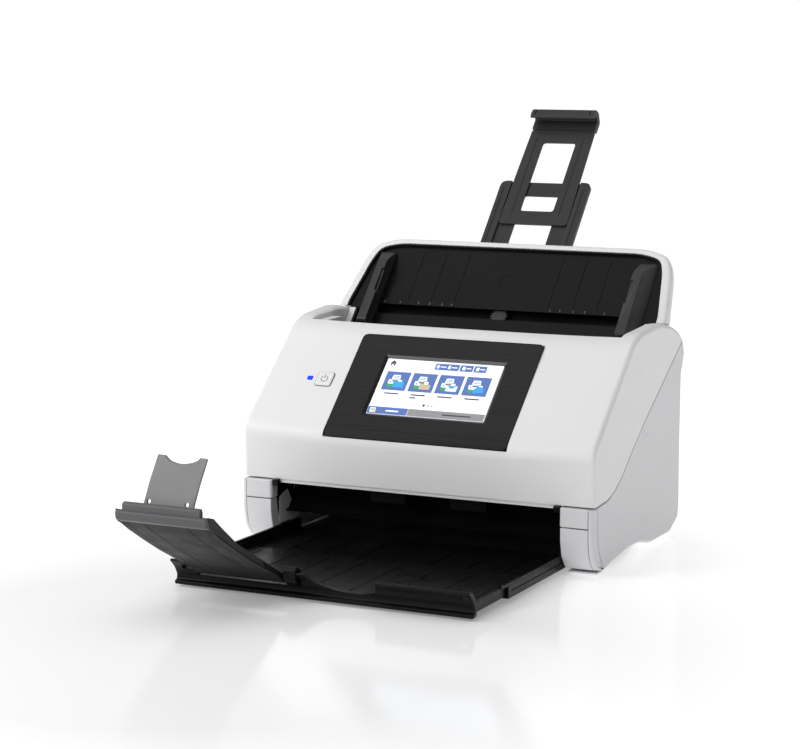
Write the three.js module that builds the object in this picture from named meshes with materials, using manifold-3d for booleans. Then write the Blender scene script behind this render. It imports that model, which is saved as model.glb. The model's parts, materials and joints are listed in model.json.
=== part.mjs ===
// Sheet fed document scanner, in millimetres, +Z up, front towards -Y.
// The solids are laid out with y = 0 near the front face of the lower cover; the exported
// group is then shifted so that the origin is the middle of the whole footprint.
import * as THREE from 'three';
import { mergeVertices } from 'three/addons/utils/BufferGeometryUtils.js';
import Module from 'manifold-3d';

const wasm = await Module();
wasm.setup();

// ---------------------------------------------------------------- driving dimensions
const HALF_WIDTH = 148;
const WALL = 2.8;
const GAP = 0.3;
const FOOTPRINT_MIDDLE_Y = 21.04;

const THROAT_HALF = 134;
const CHEEK_INNER = 136.8;
const CHEEK_OUTER = HALF_WIDTH - WALL;
const SHOULDER_REAR_Y = 150.5;
const SLOT_HALF = 123.5;

const FEED_ORIGIN = [145, 161];
const FEED_SLOPE = THREE.MathUtils.degToRad(47.5);
const ROLLER_RADIUS = 9;
const ROLLER_DEPTH = -9.2;
const SHAFT_RADIUS = 3;
const PICKUP_S = -40;
const FEED_S = -85;
const EJECT_S = -150;
const SCAN_S = -117;

const PANEL_ORIGIN = [-3.5, 91.6];
const PANEL_SLOPE = THREE.MathUtils.degToRad(43.2);
const PANEL_WIDTH = 155;
const PANEL_HEIGHT = 102.3;
const PANEL_THICK = 4;
const SCREEN = { left: -49, right: 51, low: 24.7, high: 80.2 };
const BUTTON = { x: -95.4, q: 54, width: 13.6, height: 13.2 };
const LAMP = { x: -108.8, q: 54.6, width: 4.4, height: 3.5 };

const EXIT_TABS = [[-39, -9.5], [28, 58]];

const COVER_HINGE = [-1.5, 50.5];
const LEVER_HINGE = [86, 154];
const PIN_RADIUS = 1.5;

const GEAR_MODULE = 1;
const GEAR_FACE = [128.5, 131.2];
const SHAFT_END = 131.6;
const TEETH = { feed: 30, pickup: 30, eject: 30, idlerUpper: 15, idlerLower: 35, pinion: 14 };

const TRAY_DEPTH = -13;
const TRAY_RIM = -1;
const LINER_FLOOR = [-5.1, -3.5];
const GUIDE_INNER = 110;
const GUIDE_SLOT = [12, 22];
const RACK_PITCH_RADIUS = 8;
const RACK_HEIGHT = 2.4;

const RAIL_TRAY = { half: 121.5, front: -99, rear: 41, floor: [3.8, 5.2], top: 13 };
const FRONT_TRAY = { half: 119.2, front: -151, rear: -42, floor: [5.5, 6.9], top: 12.5 };
const ARM = { left: -100, right: -27 };
const ARM_HINGE = [-156, 16];
const FLAP = { left: -82, right: -43 };
const FLAP_HINGE = [-255, 80.2];

// ---------------------------------------------------------------- outlines in the YZ plane
const COVER_OUTLINE = [
  [-1, 53], [-2.2, 94.5, 8], [90, 172.2, 12], [134, 175.4, 16], [166, 169.8, 10], [184, 162.8, 6],
  [193, 156.6], [102, 100.4], [71.5, 79, 5], [55, 66.5, 5], [41, 59, 5], [27, 54.4, 5], [5, 53],
];
const SIDE_OUTLINE = [
  [21, 1.2], [12, 14, 5], [7.6, 28, 5], [5.6, 51.8], [27, 53.3, 5], [41, 58, 5], [55, 65.5, 5],
  [71.5, 78, 5], [102, 99.4], [193.3, 155.6], [196, 151.5], [199, 143, 4], [191.5, 128, 3], [190.5, 78],
  [191, 21], [189, 11, 4], [169, 1.6, 4], [124, 1.6, 6], [101, 7, 8], [76, 8, 8], [39, 4, 6],
];
const SHOULDER_OUTLINE = [
  [SHOULDER_REAR_Y + GAP, 172.4], [166, 169.7, 4], [184, 162.7, 5], [192.4, 156.6],
  [SHOULDER_REAR_Y + GAP, 130.6],
];

// ---------------------------------------------------------------- looks
const finish = (color, roughness, metalness = 0) => () =>
  new THREE.MeshStandardMaterial({ color, roughness, metalness });
const LOOK = {
  white: finish('#e6e6e8', 0.5),
  whiteSide: finish('#d2d2d5', 0.5),
  black: finish('#1c1c1e', 0.5),
  panel: finish('#2b2b2d', 0.35),
  screen: finish('#e8eef6', 0.12),
  grey: finish('#3c3c3e', 0.5),
  lightGrey: finish('#6a6a6c', 0.5),
  flap: finish('#808083', 0.5),
  steel: finish('#a9abae', 0.35, 1),
  rubber: finish('#2a2a2c', 0.9),
  gear: finish('#e9e4d6', 0.5),
  board: finish('#1f5a35', 0.5),
  glass: finish('#9fb6bd', 0.08),
  lamp: finish('#2a5cff', 0.3),
};

// ---------------------------------------------------------------- solids
function toSolid(geometry) {
  geometry.deleteAttribute('normal');
  geometry.deleteAttribute('uv');
  const merged = mergeVertices(geometry, 1e-4);
  const vertProperties = new Float32Array(merged.attributes.position.array);
  const triVerts = Uint32Array.from(merged.index.array);
  const solid = new wasm.Manifold(new wasm.Mesh({ numProp: 3, vertProperties, triVerts }));
  if (solid.volume() > 0) return solid;
  return new wasm.Manifold(
    new wasm.Mesh({ numProp: 3, vertProperties, triVerts: triVerts.reverse() }),
  );
}

function toGeometry(solid) {
  const { vertProperties, triVerts, numProp } = solid.getMesh();
  const geometry = new THREE.BufferGeometry();
  const points = new Float32Array((vertProperties.length / numProp) * 3);
  for (let i = 0; i < points.length / 3; i += 1) {
    points.set(vertProperties.subarray(i * numProp, i * numProp + 3), i * 3);
  }
  geometry.setAttribute('position', new THREE.BufferAttribute(points, 3));
  geometry.setIndex(new THREE.BufferAttribute(new Uint32Array(triVerts), 1));
  geometry.computeVertexNormals();
  return geometry;
}

// A closed outline; a third number in a point is how far from the corner its rounding starts.
function outline(points) {
  const shape = new THREE.Shape();
  points.forEach(([u, v, wanted = 0], i) => {
    const corner = new THREE.Vector2(u, v);
    const back = new THREE.Vector2(...points.at(i - 1).slice(0, 2)).sub(corner);
    const ahead = new THREE.Vector2(...points[(i + 1) % points.length].slice(0, 2)).sub(corner);
    const soft = Math.min(wanted, 0.48 * back.length(), 0.48 * ahead.length());
    const before = back.setLength(soft).add(corner);
    const after = ahead.setLength(soft).add(corner);
    if (i === 0) shape.moveTo(before.x, before.y);
    else shape.lineTo(before.x, before.y);
    if (soft) shape.quadraticCurveTo(u, v, after.x, after.y);
  });
  shape.closePath();
  return shape;
}

function extrude(points, depth, curveSegments) {
  return new THREE.ExtrudeGeometry(outline(points), { depth, bevelEnabled: false, curveSegments });
}

// Outline in the YZ plane, extruded along X.
function alongX(points, x0, x1, curveSegments = 3) {
  const geometry = extrude(points, x1 - x0, curveSegments);
  const turn = new THREE.Matrix4().makeBasis(
    new THREE.Vector3(0, 1, 0), new THREE.Vector3(0, 0, 1), new THREE.Vector3(1, 0, 0),
  );
  geometry.applyMatrix4(turn);
  geometry.translate(x0, 0, 0);
  return toSolid(geometry);
}

// Outline in the XY plane, extruded along Z.
function alongZ(points, z0, z1, curveSegments = 4) {
  const geometry = extrude(points, z1 - z0, curveSegments);
  geometry.translate(0, 0, z0);
  return toSolid(geometry);
}

// Outline in the XZ plane, extruded along Y.
function alongY(points, y0, y1, curveSegments = 4) {
  const geometry = extrude(points, y1 - y0, curveSegments);
  geometry.rotateX(Math.PI / 2);
  geometry.translate(0, y1, 0);
  return toSolid(geometry);
}

function box(x0, x1, y0, y1, z0, z1) {
  const geometry = new THREE.BoxGeometry(x1 - x0, y1 - y0, z1 - z0);
  geometry.translate((x0 + x1) / 2, (y0 + y1) / 2, (z0 + z1) / 2);
  return toSolid(geometry);
}

// A turned piece about the X axis, from [x, radius] pairs.
function turned(profile, y = 0, z = 0, sides = 24) {
  const points = profile.map(([x, radius]) => new THREE.Vector2(radius, x));
  const geometry = new THREE.LatheGeometry(points, sides);
  geometry.rotateZ(-Math.PI / 2);
  geometry.translate(0, y, z);
  return toSolid(geometry);
}

function rod(radius, x0, x1, y = 0, z = 0, sides = 24) {
  return turned([[x0, 0], [x0, radius], [x1, radius], [x1, 0]], y, z, sides);
}

// A rod along the local Z axis.
function post(radius, x, y, z0, z1, sides = 24) {
  const geometry = new THREE.CylinderGeometry(radius, radius, z1 - z0, sides);
  geometry.rotateX(Math.PI / 2);
  geometry.translate(x, y, (z0 + z1) / 2);
  return toSolid(geometry);
}

// The outline moved inwards by a wall thickness, with mitred corners.
function inset(points, wall) {
  const corners = points.map(([u, v]) => new THREE.Vector2(u, v));
  const side = THREE.ShapeUtils.area(corners) > 0 ? 1 : -1;
  return points.map(([, , soft = 0], i) => {
    const here = corners[i];
    const into = here.clone().sub(corners.at(i - 1)).normalize();
    const out = corners[(i + 1) % corners.length].clone().sub(here).normalize();
    const middle = into.clone().add(out).normalize();
    const normal = new THREE.Vector2(-middle.y, middle.x).multiplyScalar(side);
    const reach = wall / Math.max(0.35, middle.dot(into));
    return [here.x + normal.x * reach, here.y + normal.y * reach, Math.max(0, soft - wall / 2)];
  });
}

// A bent sheet of even thickness that follows an open line of points.
function sheet(points, thickness) {
  const line = points.map(([u, v]) => new THREE.Vector2(u, v));
  const offset = (sign) => line.map((here, i) => {
    const before = line[Math.max(0, i - 1)];
    const after = line[Math.min(line.length - 1, i + 1)];
    const into = here.clone().sub(i ? before : here.clone().multiplyScalar(2).sub(after));
    const out = i < line.length - 1 ? after.clone().sub(here) : into.clone();
    const middle = into.normalize().clone().add(out.normalize()).normalize();
    const reach = (sign * thickness) / 2 / Math.max(0.35, middle.dot(into));
    return [here.x - middle.y * reach, here.y + middle.x * reach];
  });
  return [...offset(-1), ...offset(1).reverse()];
}

const scanner = new THREE.Group();
const feedPlane = new THREE.Group();
feedPlane.position.set(0, ...FEED_ORIGIN);
feedPlane.rotation.x = FEED_SLOPE;
const panelPlane = new THREE.Group();
panelPlane.position.set(0, ...PANEL_ORIGIN);
panelPlane.rotation.x = PANEL_SLOPE;
scanner.add(feedPlane, panelPlane);

function part(name, solid, look, parent = scanner, place = [0, 0, 0]) {
  const mesh = new THREE.Mesh(toGeometry(solid), look());
  mesh.name = name;
  mesh.position.set(...place);
  parent.add(mesh);
}

// A point of a tilted plane, given along its slope and square to it, in Y and Z.
function onPlane([originY, originZ], slope, along, square) {
  const c = Math.cos(slope);
  const s = Math.sin(slope);
  return [originY + along * c - square * s, originZ + along * s + square * c];
}
const feed = (s, n) => onPlane(FEED_ORIGIN, FEED_SLOPE, s, n);
const panel = (q, n) => onPlane(PANEL_ORIGIN, PANEL_SLOPE, q, n);
const feedBox = (s0, s1, n0, n1) => [feed(s0, n0), feed(s1, n0), feed(s1, n1), feed(s0, n1)];
const panelBox = (q0, q1, n0, n1) => [panel(q0, n0), panel(q1, n0), panel(q1, n1), panel(q0, n1)];

// The inverse of feed(): where a YZ point lies along and square to the feed plane.
function toFeed([y, z]) {
  const c = Math.cos(FEED_SLOPE);
  const s = Math.sin(FEED_SLOPE);
  const dy = y - FEED_ORIGIN[0];
  const dz = z - FEED_ORIGIN[1];
  return [dy * c + dz * s, -dy * s + dz * c];
}

const mirrored = (half) => [...half, ...half.map(([x, y, soft]) => [-x, y, soft]).reverse()];

// ---------------------------------------------------------------- cover
function frontCover() {
  const front = [[-1, 30], [-2.2, 94.5, 8], [90, 172.2, 12]];
  const inFront = inset([...front, [134, 175.4], [134, 30]], WALL).slice(0, 3);
  const cheekRoom = [
    [inFront[0][0], 30], inFront[1], inFront[2], [134, 172.6, 14],
    [SHOULDER_REAR_Y - WALL, 169.8], [SHOULDER_REAR_Y - WALL, 30],
  ];
  const middleRoom = [
    [inFront[0][0], 30], inFront[1], [85.2, 165.2], [88, 170], [88, 230], [160, 230], [160, 30],
  ];
  let shell = alongX(COVER_OUTLINE, -HALF_WIDTH, HALF_WIDTH);
  shell = shell.subtract(alongX(middleRoom, -THROAT_HALF, THROAT_HALF));
  shell = shell.subtract(box(-CHEEK_OUTER, CHEEK_OUTER, SHOULDER_REAR_Y, 230, 30, 230));
  for (const [x0, x1] of [[-CHEEK_OUTER, -CHEEK_INNER], [CHEEK_INNER, CHEEK_OUTER]]) {
    shell = shell.subtract(alongX(cheekRoom, x0, x1));
  }
  const half = PANEL_WIDTH / 2 + GAP;
  shell = shell.subtract(alongX(panelBox(-GAP, PANEL_HEIGHT + GAP, -PANEL_THICK - GAP, 8), -half, half));
  const display = panelBox(SCREEN.low - 4, SCREEN.high + 4, -14, 0);
  shell = shell.subtract(alongX(display, SCREEN.left - 4, SCREEN.right + 4));
  for (const { x, q, width, height } of [BUTTON, LAMP]) {
    const hole = panelBox(q - height / 2 - GAP, q + height / 2 + GAP, -12, 8);
    shell = shell.subtract(alongX(hole, x - width / 2 - GAP, x + width / 2 + GAP));
  }
  part('front_cover', shell, LOOK.white);
}

function controlPanel() {
  const half = PANEL_WIDTH / 2;
  const face = [[-half, 0, 3], [half, 0, 3], [half, PANEL_HEIGHT, 3], [-half, PANEL_HEIGHT, 3]];
  let frame = alongZ(face, -PANEL_THICK, 0);
  const window = box(SCREEN.left, SCREEN.right, SCREEN.low, SCREEN.high, -PANEL_THICK - 1, 1);
  frame = frame.subtract(window);
  part('control_panel_frame', frame, LOOK.panel, panelPlane);
  const screen = box(SCREEN.left + GAP, SCREEN.right - GAP, SCREEN.low + GAP, SCREEN.high - GAP, -10, -1.2);
  part('touch_display', screen, LOOK.screen, panelPlane);
}

function powerButton() {
  const { x, q, width, height } = BUTTON;
  const cap = mirrored([[width / 2, -height / 2, 2], [width / 2, height / 2, 2]]);
  part('power_button', alongZ(cap, -9, 0.6), LOOK.white, panelPlane, [x, q, 0]);
  const lens = [LAMP.width / 2, LAMP.height / 2];
  const glow = box(-lens[0], lens[0], -lens[1], lens[1], -9, 0.1);
  part('status_lamp', glow, LOOK.lamp, panelPlane, [LAMP.x, LAMP.q, 0]);
}

function coverGuide() {
  const plane = 2.4;
  const line = [[2.2, 51.6], [24, 48], feed(-163, plane), feed(-62, plane), [93.5, 142], [91.4, 166]];
  let guide = alongX(sheet(line, 2), -121, 121);
  const roller = (s, x, half) => alongX(feedBox(s - 11, s + 11, -2, 12), x - half, x + half);
  guide = guide.subtract(roller(FEED_S, 0, 23));
  for (const side of [-1, 1]) {
    guide = guide.subtract(roller(EJECT_S, side * 50, 13));
  }
  guide = guide.subtract(alongX(feedBox(SCAN_S - 10, SCAN_S + 10, -2, 6), -113, 113));
  const tab = [[4, 51], [10, 50], [9.4, 43], [7.6, 40, 1], [5, 40, 1]];
  for (const [x0, x1] of EXIT_TABS) {
    guide = guide.add(alongX(tab, x0, x1));
  }
  for (const side of [-1, 1]) {
    const [y, z] = COVER_HINGE;
    const ear = [[y - 3, z - 3, 2], [y + 3.2, z - 3, 2], [8, 52.6], [y - 3, 52.6, 1]];
    const x = side * 118.8;
    guide = guide.add(alongX(ear, x - 2.2, x + 2.2));
    guide = guide.subtract(rod(PIN_RADIUS + GAP, x - 4, x + 4, y, z));
  }
  part('cover_paper_guide', guide, LOOK.black);
}

function scanUnits() {
  const body = (side) => {
    const near = side * 3.9;
    const far = side * 24;
    return feedBox(SCAN_S - 12, SCAN_S + 12, Math.min(near, far), Math.max(near, far));
  };
  part('lower_scan_unit', alongX(body(-1), -118, 118), LOOK.grey);
  part('upper_scan_unit', alongX(body(1), -118, 118), LOOK.grey);
  part('lower_scan_glass', alongX(feedBox(SCAN_S - 9.5, SCAN_S + 9.5, -3.5, -1.5), -112, 112), LOOK.glass);
  part('upper_scan_glass', alongX(feedBox(SCAN_S - 9.5, SCAN_S + 9.5, 1.5, 3.5), -112, 112), LOOK.glass);
}

function coverLever() {
  const [y, z] = LEVER_HINGE;
  const profile = [
    [y - 4, z - 4, 2], [y + 4, z - 4, 2], [95.5, 161], [124, 162.5, 1], [126, 165.5, 1],
    [122, 167.6, 2], [93.2, 167.2, 1], [y - 4, z + 4, 2],
  ];
  const shaft = [y, z];
  let lever = alongX(profile, -133, -124.2);
  lever = lever.subtract(rod(SHAFT_RADIUS - 0.5 + GAP, -140, -110, ...shaft));
  part('cover_lever', lever, LOOK.white);
  let latch = rod(SHAFT_RADIUS - 0.5, -133.4, 124.6, ...shaft);
  const hook = [
    [y - 4, z + 3, 2], [y + 4, z + 4, 2], [y + 7, z - 8], [106, 134, 1], [103, 131, 1], [y, z - 9],
  ];
  for (const x of [-123.8, 122.2]) {
    latch = latch.add(alongX(hook, x, x + 1.6));
  }
  part('latch_shaft', latch, LOOK.steel);
}

// ---------------------------------------------------------------- body
function sideCovers() {
  const room = inset(SIDE_OUTLINE, WALL);
  const bead = [[30, 20], [26, 44], [34, 46], [60, 62], [150, 120], [176, 120], [176, 20]];
  for (const [name, sign] of [['left_side_cover', -1], ['right_side_cover', 1]]) {
    const [near, far] = [132 * sign, HALF_WIDTH * sign].sort((a, b) => a - b);
    const [inner, outer] = [130 * sign, CHEEK_OUTER * sign].sort((a, b) => a - b);
    const [ribIn, ribOut] = [(CHEEK_OUTER - 1) * sign, (CHEEK_OUTER + 1.2) * sign].sort((a, b) => a - b);
    let cover = alongX(SIDE_OUTLINE, near, far).subtract(alongX(room, inner, outer));
    cover = cover.subtract(alongX(bead, ribIn, ribOut));
    part(name, cover, LOOK.whiteSide);
  }
}

function shoulders() {
  const room = inset([...SHOULDER_OUTLINE.slice(0, 4), [SHOULDER_REAR_Y + GAP, 100]], 2.4);
  for (const [name, sign] of [['left_rear_shoulder', -1], ['right_rear_shoulder', 1]]) {
    const [near, far] = [(THROAT_HALF + GAP) * sign, (CHEEK_OUTER - GAP) * sign].sort((a, b) => a - b);
    const [inner, outer] = [136.7 * sign, 142.5 * sign].sort((a, b) => a - b);
    const cap = alongX(SHOULDER_OUTLINE, near, far).subtract(alongX(room, inner, outer));
    part(name, cap, LOOK.white);
  }
}

function frontPosts() {
  const block = [
    [-4.8, 36.6], [-4.6, 26, 4], [-1.5, 13, 5], [6, 4.5, 3], [14.6, 2.2], [18.4, 2.2],
    [10.6, 14, 5], [6, 28, 5], [4.6, 36.6],
  ];
  const top = [[-4.8, 37.4, 1], [-4.8, 51.7, 1], [4.6, 51.7], [4.5, 37.4]];
  for (const [side, sign] of [['left', -1], ['right', 1]]) {
    const [x0, x1] = [SLOT_HALF * sign, 147.6 * sign].sort((a, b) => a - b);
    part(`${side}_front_post`, alongX(block, x0, x1), LOOK.whiteSide);
    const pin = [116 * sign, 130.5 * sign].sort((a, b) => a - b);
    const cap = alongX(top, x0, x1).add(rod(PIN_RADIUS, ...pin, ...COVER_HINGE, 16));
    part(`${side}_post_cap`, cap, LOOK.white);
  }
}

function rearCover() {
  const line = [
    [162, 152.6], [190.6, 150.8], [196.9, 141.6], [189.5, 126],
    [189, 78], [189.4, 21], [187, 12], [181, 5.4],
  ];
  let cover = alongX(sheet(line, WALL), -131.6, 131.6);
  cover = cover.subtract(box(-104.6, -91.4, 175, 200, 21.4, 34.6));
  cover = cover.subtract(box(-74.6, -59.4, 175, 200, 19.4, 34.6));
  cover = cover.subtract(box(-44.6, -25.4, 175, 200, 19.4, 36.6));
  for (const x of [-100, 0, 100]) {
    for (let i = 0; i < 4; i += 1) {
      cover = cover.subtract(box(x - 24, x + 24, 185, 195, 88 + i * 8, 91 + i * 8));
    }
  }
  part('rear_cover', cover, LOOK.white);
}

function sockets() {
  const dc = box(-104, -92, 174, 191.2, 22, 34).subtract(box(-101, -95, 178, 195, 25, 31));
  part('dc_inlet', dc.add(rod(1, -101.5, -94.5, 177, 28, 8)), LOOK.black);
  const usb = box(-74, -60, 174, 191.2, 20, 34).subtract(box(-72, -62, 178, 195, 22, 32));
  part('usb_socket', usb, LOOK.steel);
  const lan = box(-44, -26, 174, 191.2, 20, 36).subtract(box(-42, -28, 178, 195, 22, 34));
  part('network_socket', lan, LOOK.steel);
  part('main_board', box(-112, 70, 171.8, 173.4, 14, 110), LOOK.board);
}

function base() {
  part('base_pan', box(-131.6, 131.6, 24, 180, 2, 3.5), LOOK.grey);
  const feet = [
    ['front_foot_left', -122, 36], ['front_foot_right', 122, 36],
    ['rear_foot_left', -122, 140], ['rear_foot_right', 122, 140],
  ];
  for (const [name, x, y] of feet) {
    part(name, post(7, x, y, 0, 1.7), LOOK.rubber);
  }
  const plate = [
    [38, 4.2], [38, 12], [24, 24], [22, 42], [34, 52], [112, 140], [124, 140], [136, 130], [176, 126],
    [176, 4.2],
  ];
  for (const [name, x0, x1] of [['left_frame_plate', -128, -126.2], ['right_frame_plate', 126.2, 128]]) {
    let frame = alongX(plate, x0, x1);
    for (const s of [PICKUP_S, FEED_S, EJECT_S]) {
      frame = frame.subtract(rod(SHAFT_RADIUS + GAP, x0 - 1, x1 + 1, ...feed(s, ROLLER_DEPTH)));
    }
    if (x0 > 0) {
      frame = frame.subtract(rod(2.6, x0 - 1, x1 + 1, ...feed(...PINION)));
      frame = frame.add(rod(PIN_RADIUS, x0, SHAFT_END, ...feed(...IDLER_UPPER), 16));
      frame = frame.add(rod(PIN_RADIUS, x0, SHAFT_END, ...feed(...IDLER_LOWER), 16));
    }
    part(name, frame, LOOK.steel);
  }
}

function lowerGuide() {
  const line = [feed(-183, -2.4), feed(-13.6, -2.4)];
  let guide = alongX(sheet(line, 2), -123, 123);
  const roller = (s, x, half) => alongX(feedBox(s - 11, s + 11, -12, 2), x - half, x + half);
  guide = guide.subtract(roller(PICKUP_S, 0, 24)).subtract(roller(FEED_S, 0, 24));
  guide = guide.subtract(roller(EJECT_S, -50, 13)).subtract(roller(EJECT_S, 50, 13));
  guide = guide.subtract(alongX(feedBox(SCAN_S - 10, SCAN_S + 10, -6, 2), -113, 113));
  guide = guide.add(alongX([[17.5, 23.6], [30, 23.6], [30, 25.4], [20.6, 25.4]], -123, 123));
  const wall = [[13, 14], [7.6, 28], [5.6, 37], [5.4, 51], [24, 51], [38, 52], [31, 30], [26, 14]];
  for (const [x0, x1] of [[-125.6, -122.6], [122.6, 125.6]]) {
    guide = guide.add(alongX(wall, x0, x1));
  }
  part('lower_paper_guide', guide, LOOK.black);
}

// ---------------------------------------------------------------- rollers and gears
const pitchRadius = (teeth) => (teeth * GEAR_MODULE) / 2;
const IDLER_UPPER = [(PICKUP_S + FEED_S) / 2, ROLLER_DEPTH];
const IDLER_LOWER = [(FEED_S + EJECT_S) / 2, ROLLER_DEPTH];
const PINION = [FEED_S, ROLLER_DEPTH - pitchRadius(TEETH.feed) - pitchRadius(TEETH.pinion)];

function gear(teeth, phase, bore, [x0, x1] = GEAR_FACE) {
  const pitch = (2 * Math.PI) / teeth;
  const tip = pitchRadius(teeth) + 0.8 * GEAR_MODULE;
  const root = pitchRadius(teeth) - 1.15 * GEAR_MODULE;
  const points = [];
  for (let i = 0; i < teeth; i += 1) {
    const middle = phase + i * pitch;
    for (const [radius, away] of [[root, -0.27], [tip, -0.1], [tip, 0.1], [root, 0.27]]) {
      const angle = middle + away * pitch;
      points.push([radius * Math.cos(angle), radius * Math.sin(angle)]);
    }
  }
  return alongX(points, x0, x1).subtract(rod(bore, x0 - 1, x1 + 1));
}

// The phase of a gear that meshes with another: its gaps face the other's teeth.
function meshPhase(phase, teeth, otherTeeth, direction) {
  return direction + Math.PI + Math.PI / otherTeeth - ((phase - direction) * teeth) / otherTeeth;
}

function gearTrain() {
  const inFeed = (s, n) => [0, s, n];
  const up = 0;
  const down = Math.PI;
  const square = -Math.PI / 2;
  const phase = { feed: 0 };
  phase.idlerUpper = meshPhase(0, TEETH.feed, TEETH.idlerUpper, up);
  phase.pickup = meshPhase(phase.idlerUpper, TEETH.idlerUpper, TEETH.pickup, up);
  phase.idlerLower = meshPhase(0, TEETH.feed, TEETH.idlerLower, down);
  phase.eject = meshPhase(phase.idlerLower, TEETH.idlerLower, TEETH.eject, down);
  phase.pinion = meshPhase(0, TEETH.feed, TEETH.pinion, square);
  for (const [name, s] of [['pickup', PICKUP_S], ['feed', FEED_S], ['eject', EJECT_S]]) {
    const shaft = rod(SHAFT_RADIUS, -129.5, SHAFT_END).add(gear(TEETH[name], phase[name], 1));
    part(`${name}_shaft_gear`, shaft, LOOK.steel, feedPlane, inFeed(s, ROLLER_DEPTH));
  }
  const loose = [
    ['idler_gear_upper', 'idlerUpper', inFeed(...IDLER_UPPER)],
    ['idler_gear_lower', 'idlerLower', inFeed(...IDLER_LOWER)],
    ['motor_pinion', 'pinion', inFeed(...PINION)],
  ];
  for (const [name, key, place] of loose) {
    part(name, gear(TEETH[key], phase[key], PIN_RADIUS + GAP), LOOK.gear, feedPlane, place);
  }
  const motor = turned([
    [92, 0], [92, 14.5], [93.5, 16], [124, 16], [124, 6], [125.6, 6], [125.6, PIN_RADIUS],
    [SHAFT_END, PIN_RADIUS], [SHAFT_END, 0],
  ], 0, 0, 28);
  part('feed_motor', motor, LOOK.grey, feedPlane, inFeed(...PINION));
}

function rollers() {
  const bore = SHAFT_RADIUS + GAP;
  const tyre = (half) => turned([
    [-half, bore], [-half, ROLLER_RADIUS - 0.6], [-half + 0.6, ROLLER_RADIUS],
    [half - 0.6, ROLLER_RADIUS], [half, ROLLER_RADIUS - 0.6], [half, bore], [-half, bore],
  ]);
  part('pickup_roller', tyre(22), LOOK.rubber, feedPlane, [0, PICKUP_S, ROLLER_DEPTH]);
  part('feed_roller', tyre(22), LOOK.rubber, feedPlane, [0, FEED_S, ROLLER_DEPTH]);
  part('eject_roller_left', tyre(11), LOOK.rubber, feedPlane, [-50, EJECT_S, ROLLER_DEPTH]);
  part('eject_roller_right', tyre(11), LOOK.rubber, feedPlane, [50, EJECT_S, ROLLER_DEPTH]);
  const separation = turned([
    [-26, 0], [-26, 2.5], [-20, 2.5], [-20, ROLLER_RADIUS],
    [20, ROLLER_RADIUS], [20, 2.5], [26, 2.5], [26, 0],
  ]);
  part('separation_roller', separation, LOOK.rubber, feedPlane, [0, FEED_S, ROLLER_RADIUS + 0.4]);
  const pinch = turned([
    [-66, 0], [-66, 2], [-60, 2], [-60, 6], [-40, 6], [-40, 2],
    [40, 2], [40, 6], [60, 6], [60, 2], [66, 2], [66, 0],
  ]);
  part('exit_idle_rollers', pinch, LOOK.rubber, feedPlane, [0, EJECT_S, 6.4]);
}

// ---------------------------------------------------------------- input tray
function inputTray() {
  const wing = [[145, 12], [145, 22], [137.8, 66, 7], [132, 83, 10], [112, 90, 10]];
  const outer = mirrored([[133.5, -12], [133.5, 12], ...wing]);
  const inner = mirrored([
    [128.4, -9.4], [128.4, 14.5], [137.4, 14.5], [137.4, 22], [130.6, 64, 6], [126, 79, 8], [108, 84, 8],
  ]);
  let shell = alongZ(outer, TRAY_DEPTH, TRAY_RIM);
  shell = shell.subtract(alongZ(inner, TRAY_DEPTH + 1.8, 5));
  shell = shell.subtract(box(-42.6, 44.6, 80, 95, -11.2, -6.9));
  const clear = [[148, 173.6], [166, 170.7], [185, 163.5], [200, 152], [200, 120], [148, 120]].map(toFeed);
  const overShoulders = alongX(clear, 133.6, 150).add(alongX(clear, -150, -133.6));
  part('input_tray_shell', shell.subtract(overShoulders), LOOK.white, feedPlane);

  const floor = inset(inner, GAP + 0.1);
  const pan = inset(inner, 1.8);
  let liner = alongZ(floor, LINER_FLOOR[0], TRAY_RIM - 0.4).subtract(alongZ(pan, LINER_FLOOR[1], 5));
  liner = liner.subtract(box(-121, 121, ...GUIDE_SLOT, -8, 0));
  part('input_tray_liner', liner.subtract(overShoulders), LOOK.black, feedPlane);
}

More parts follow.
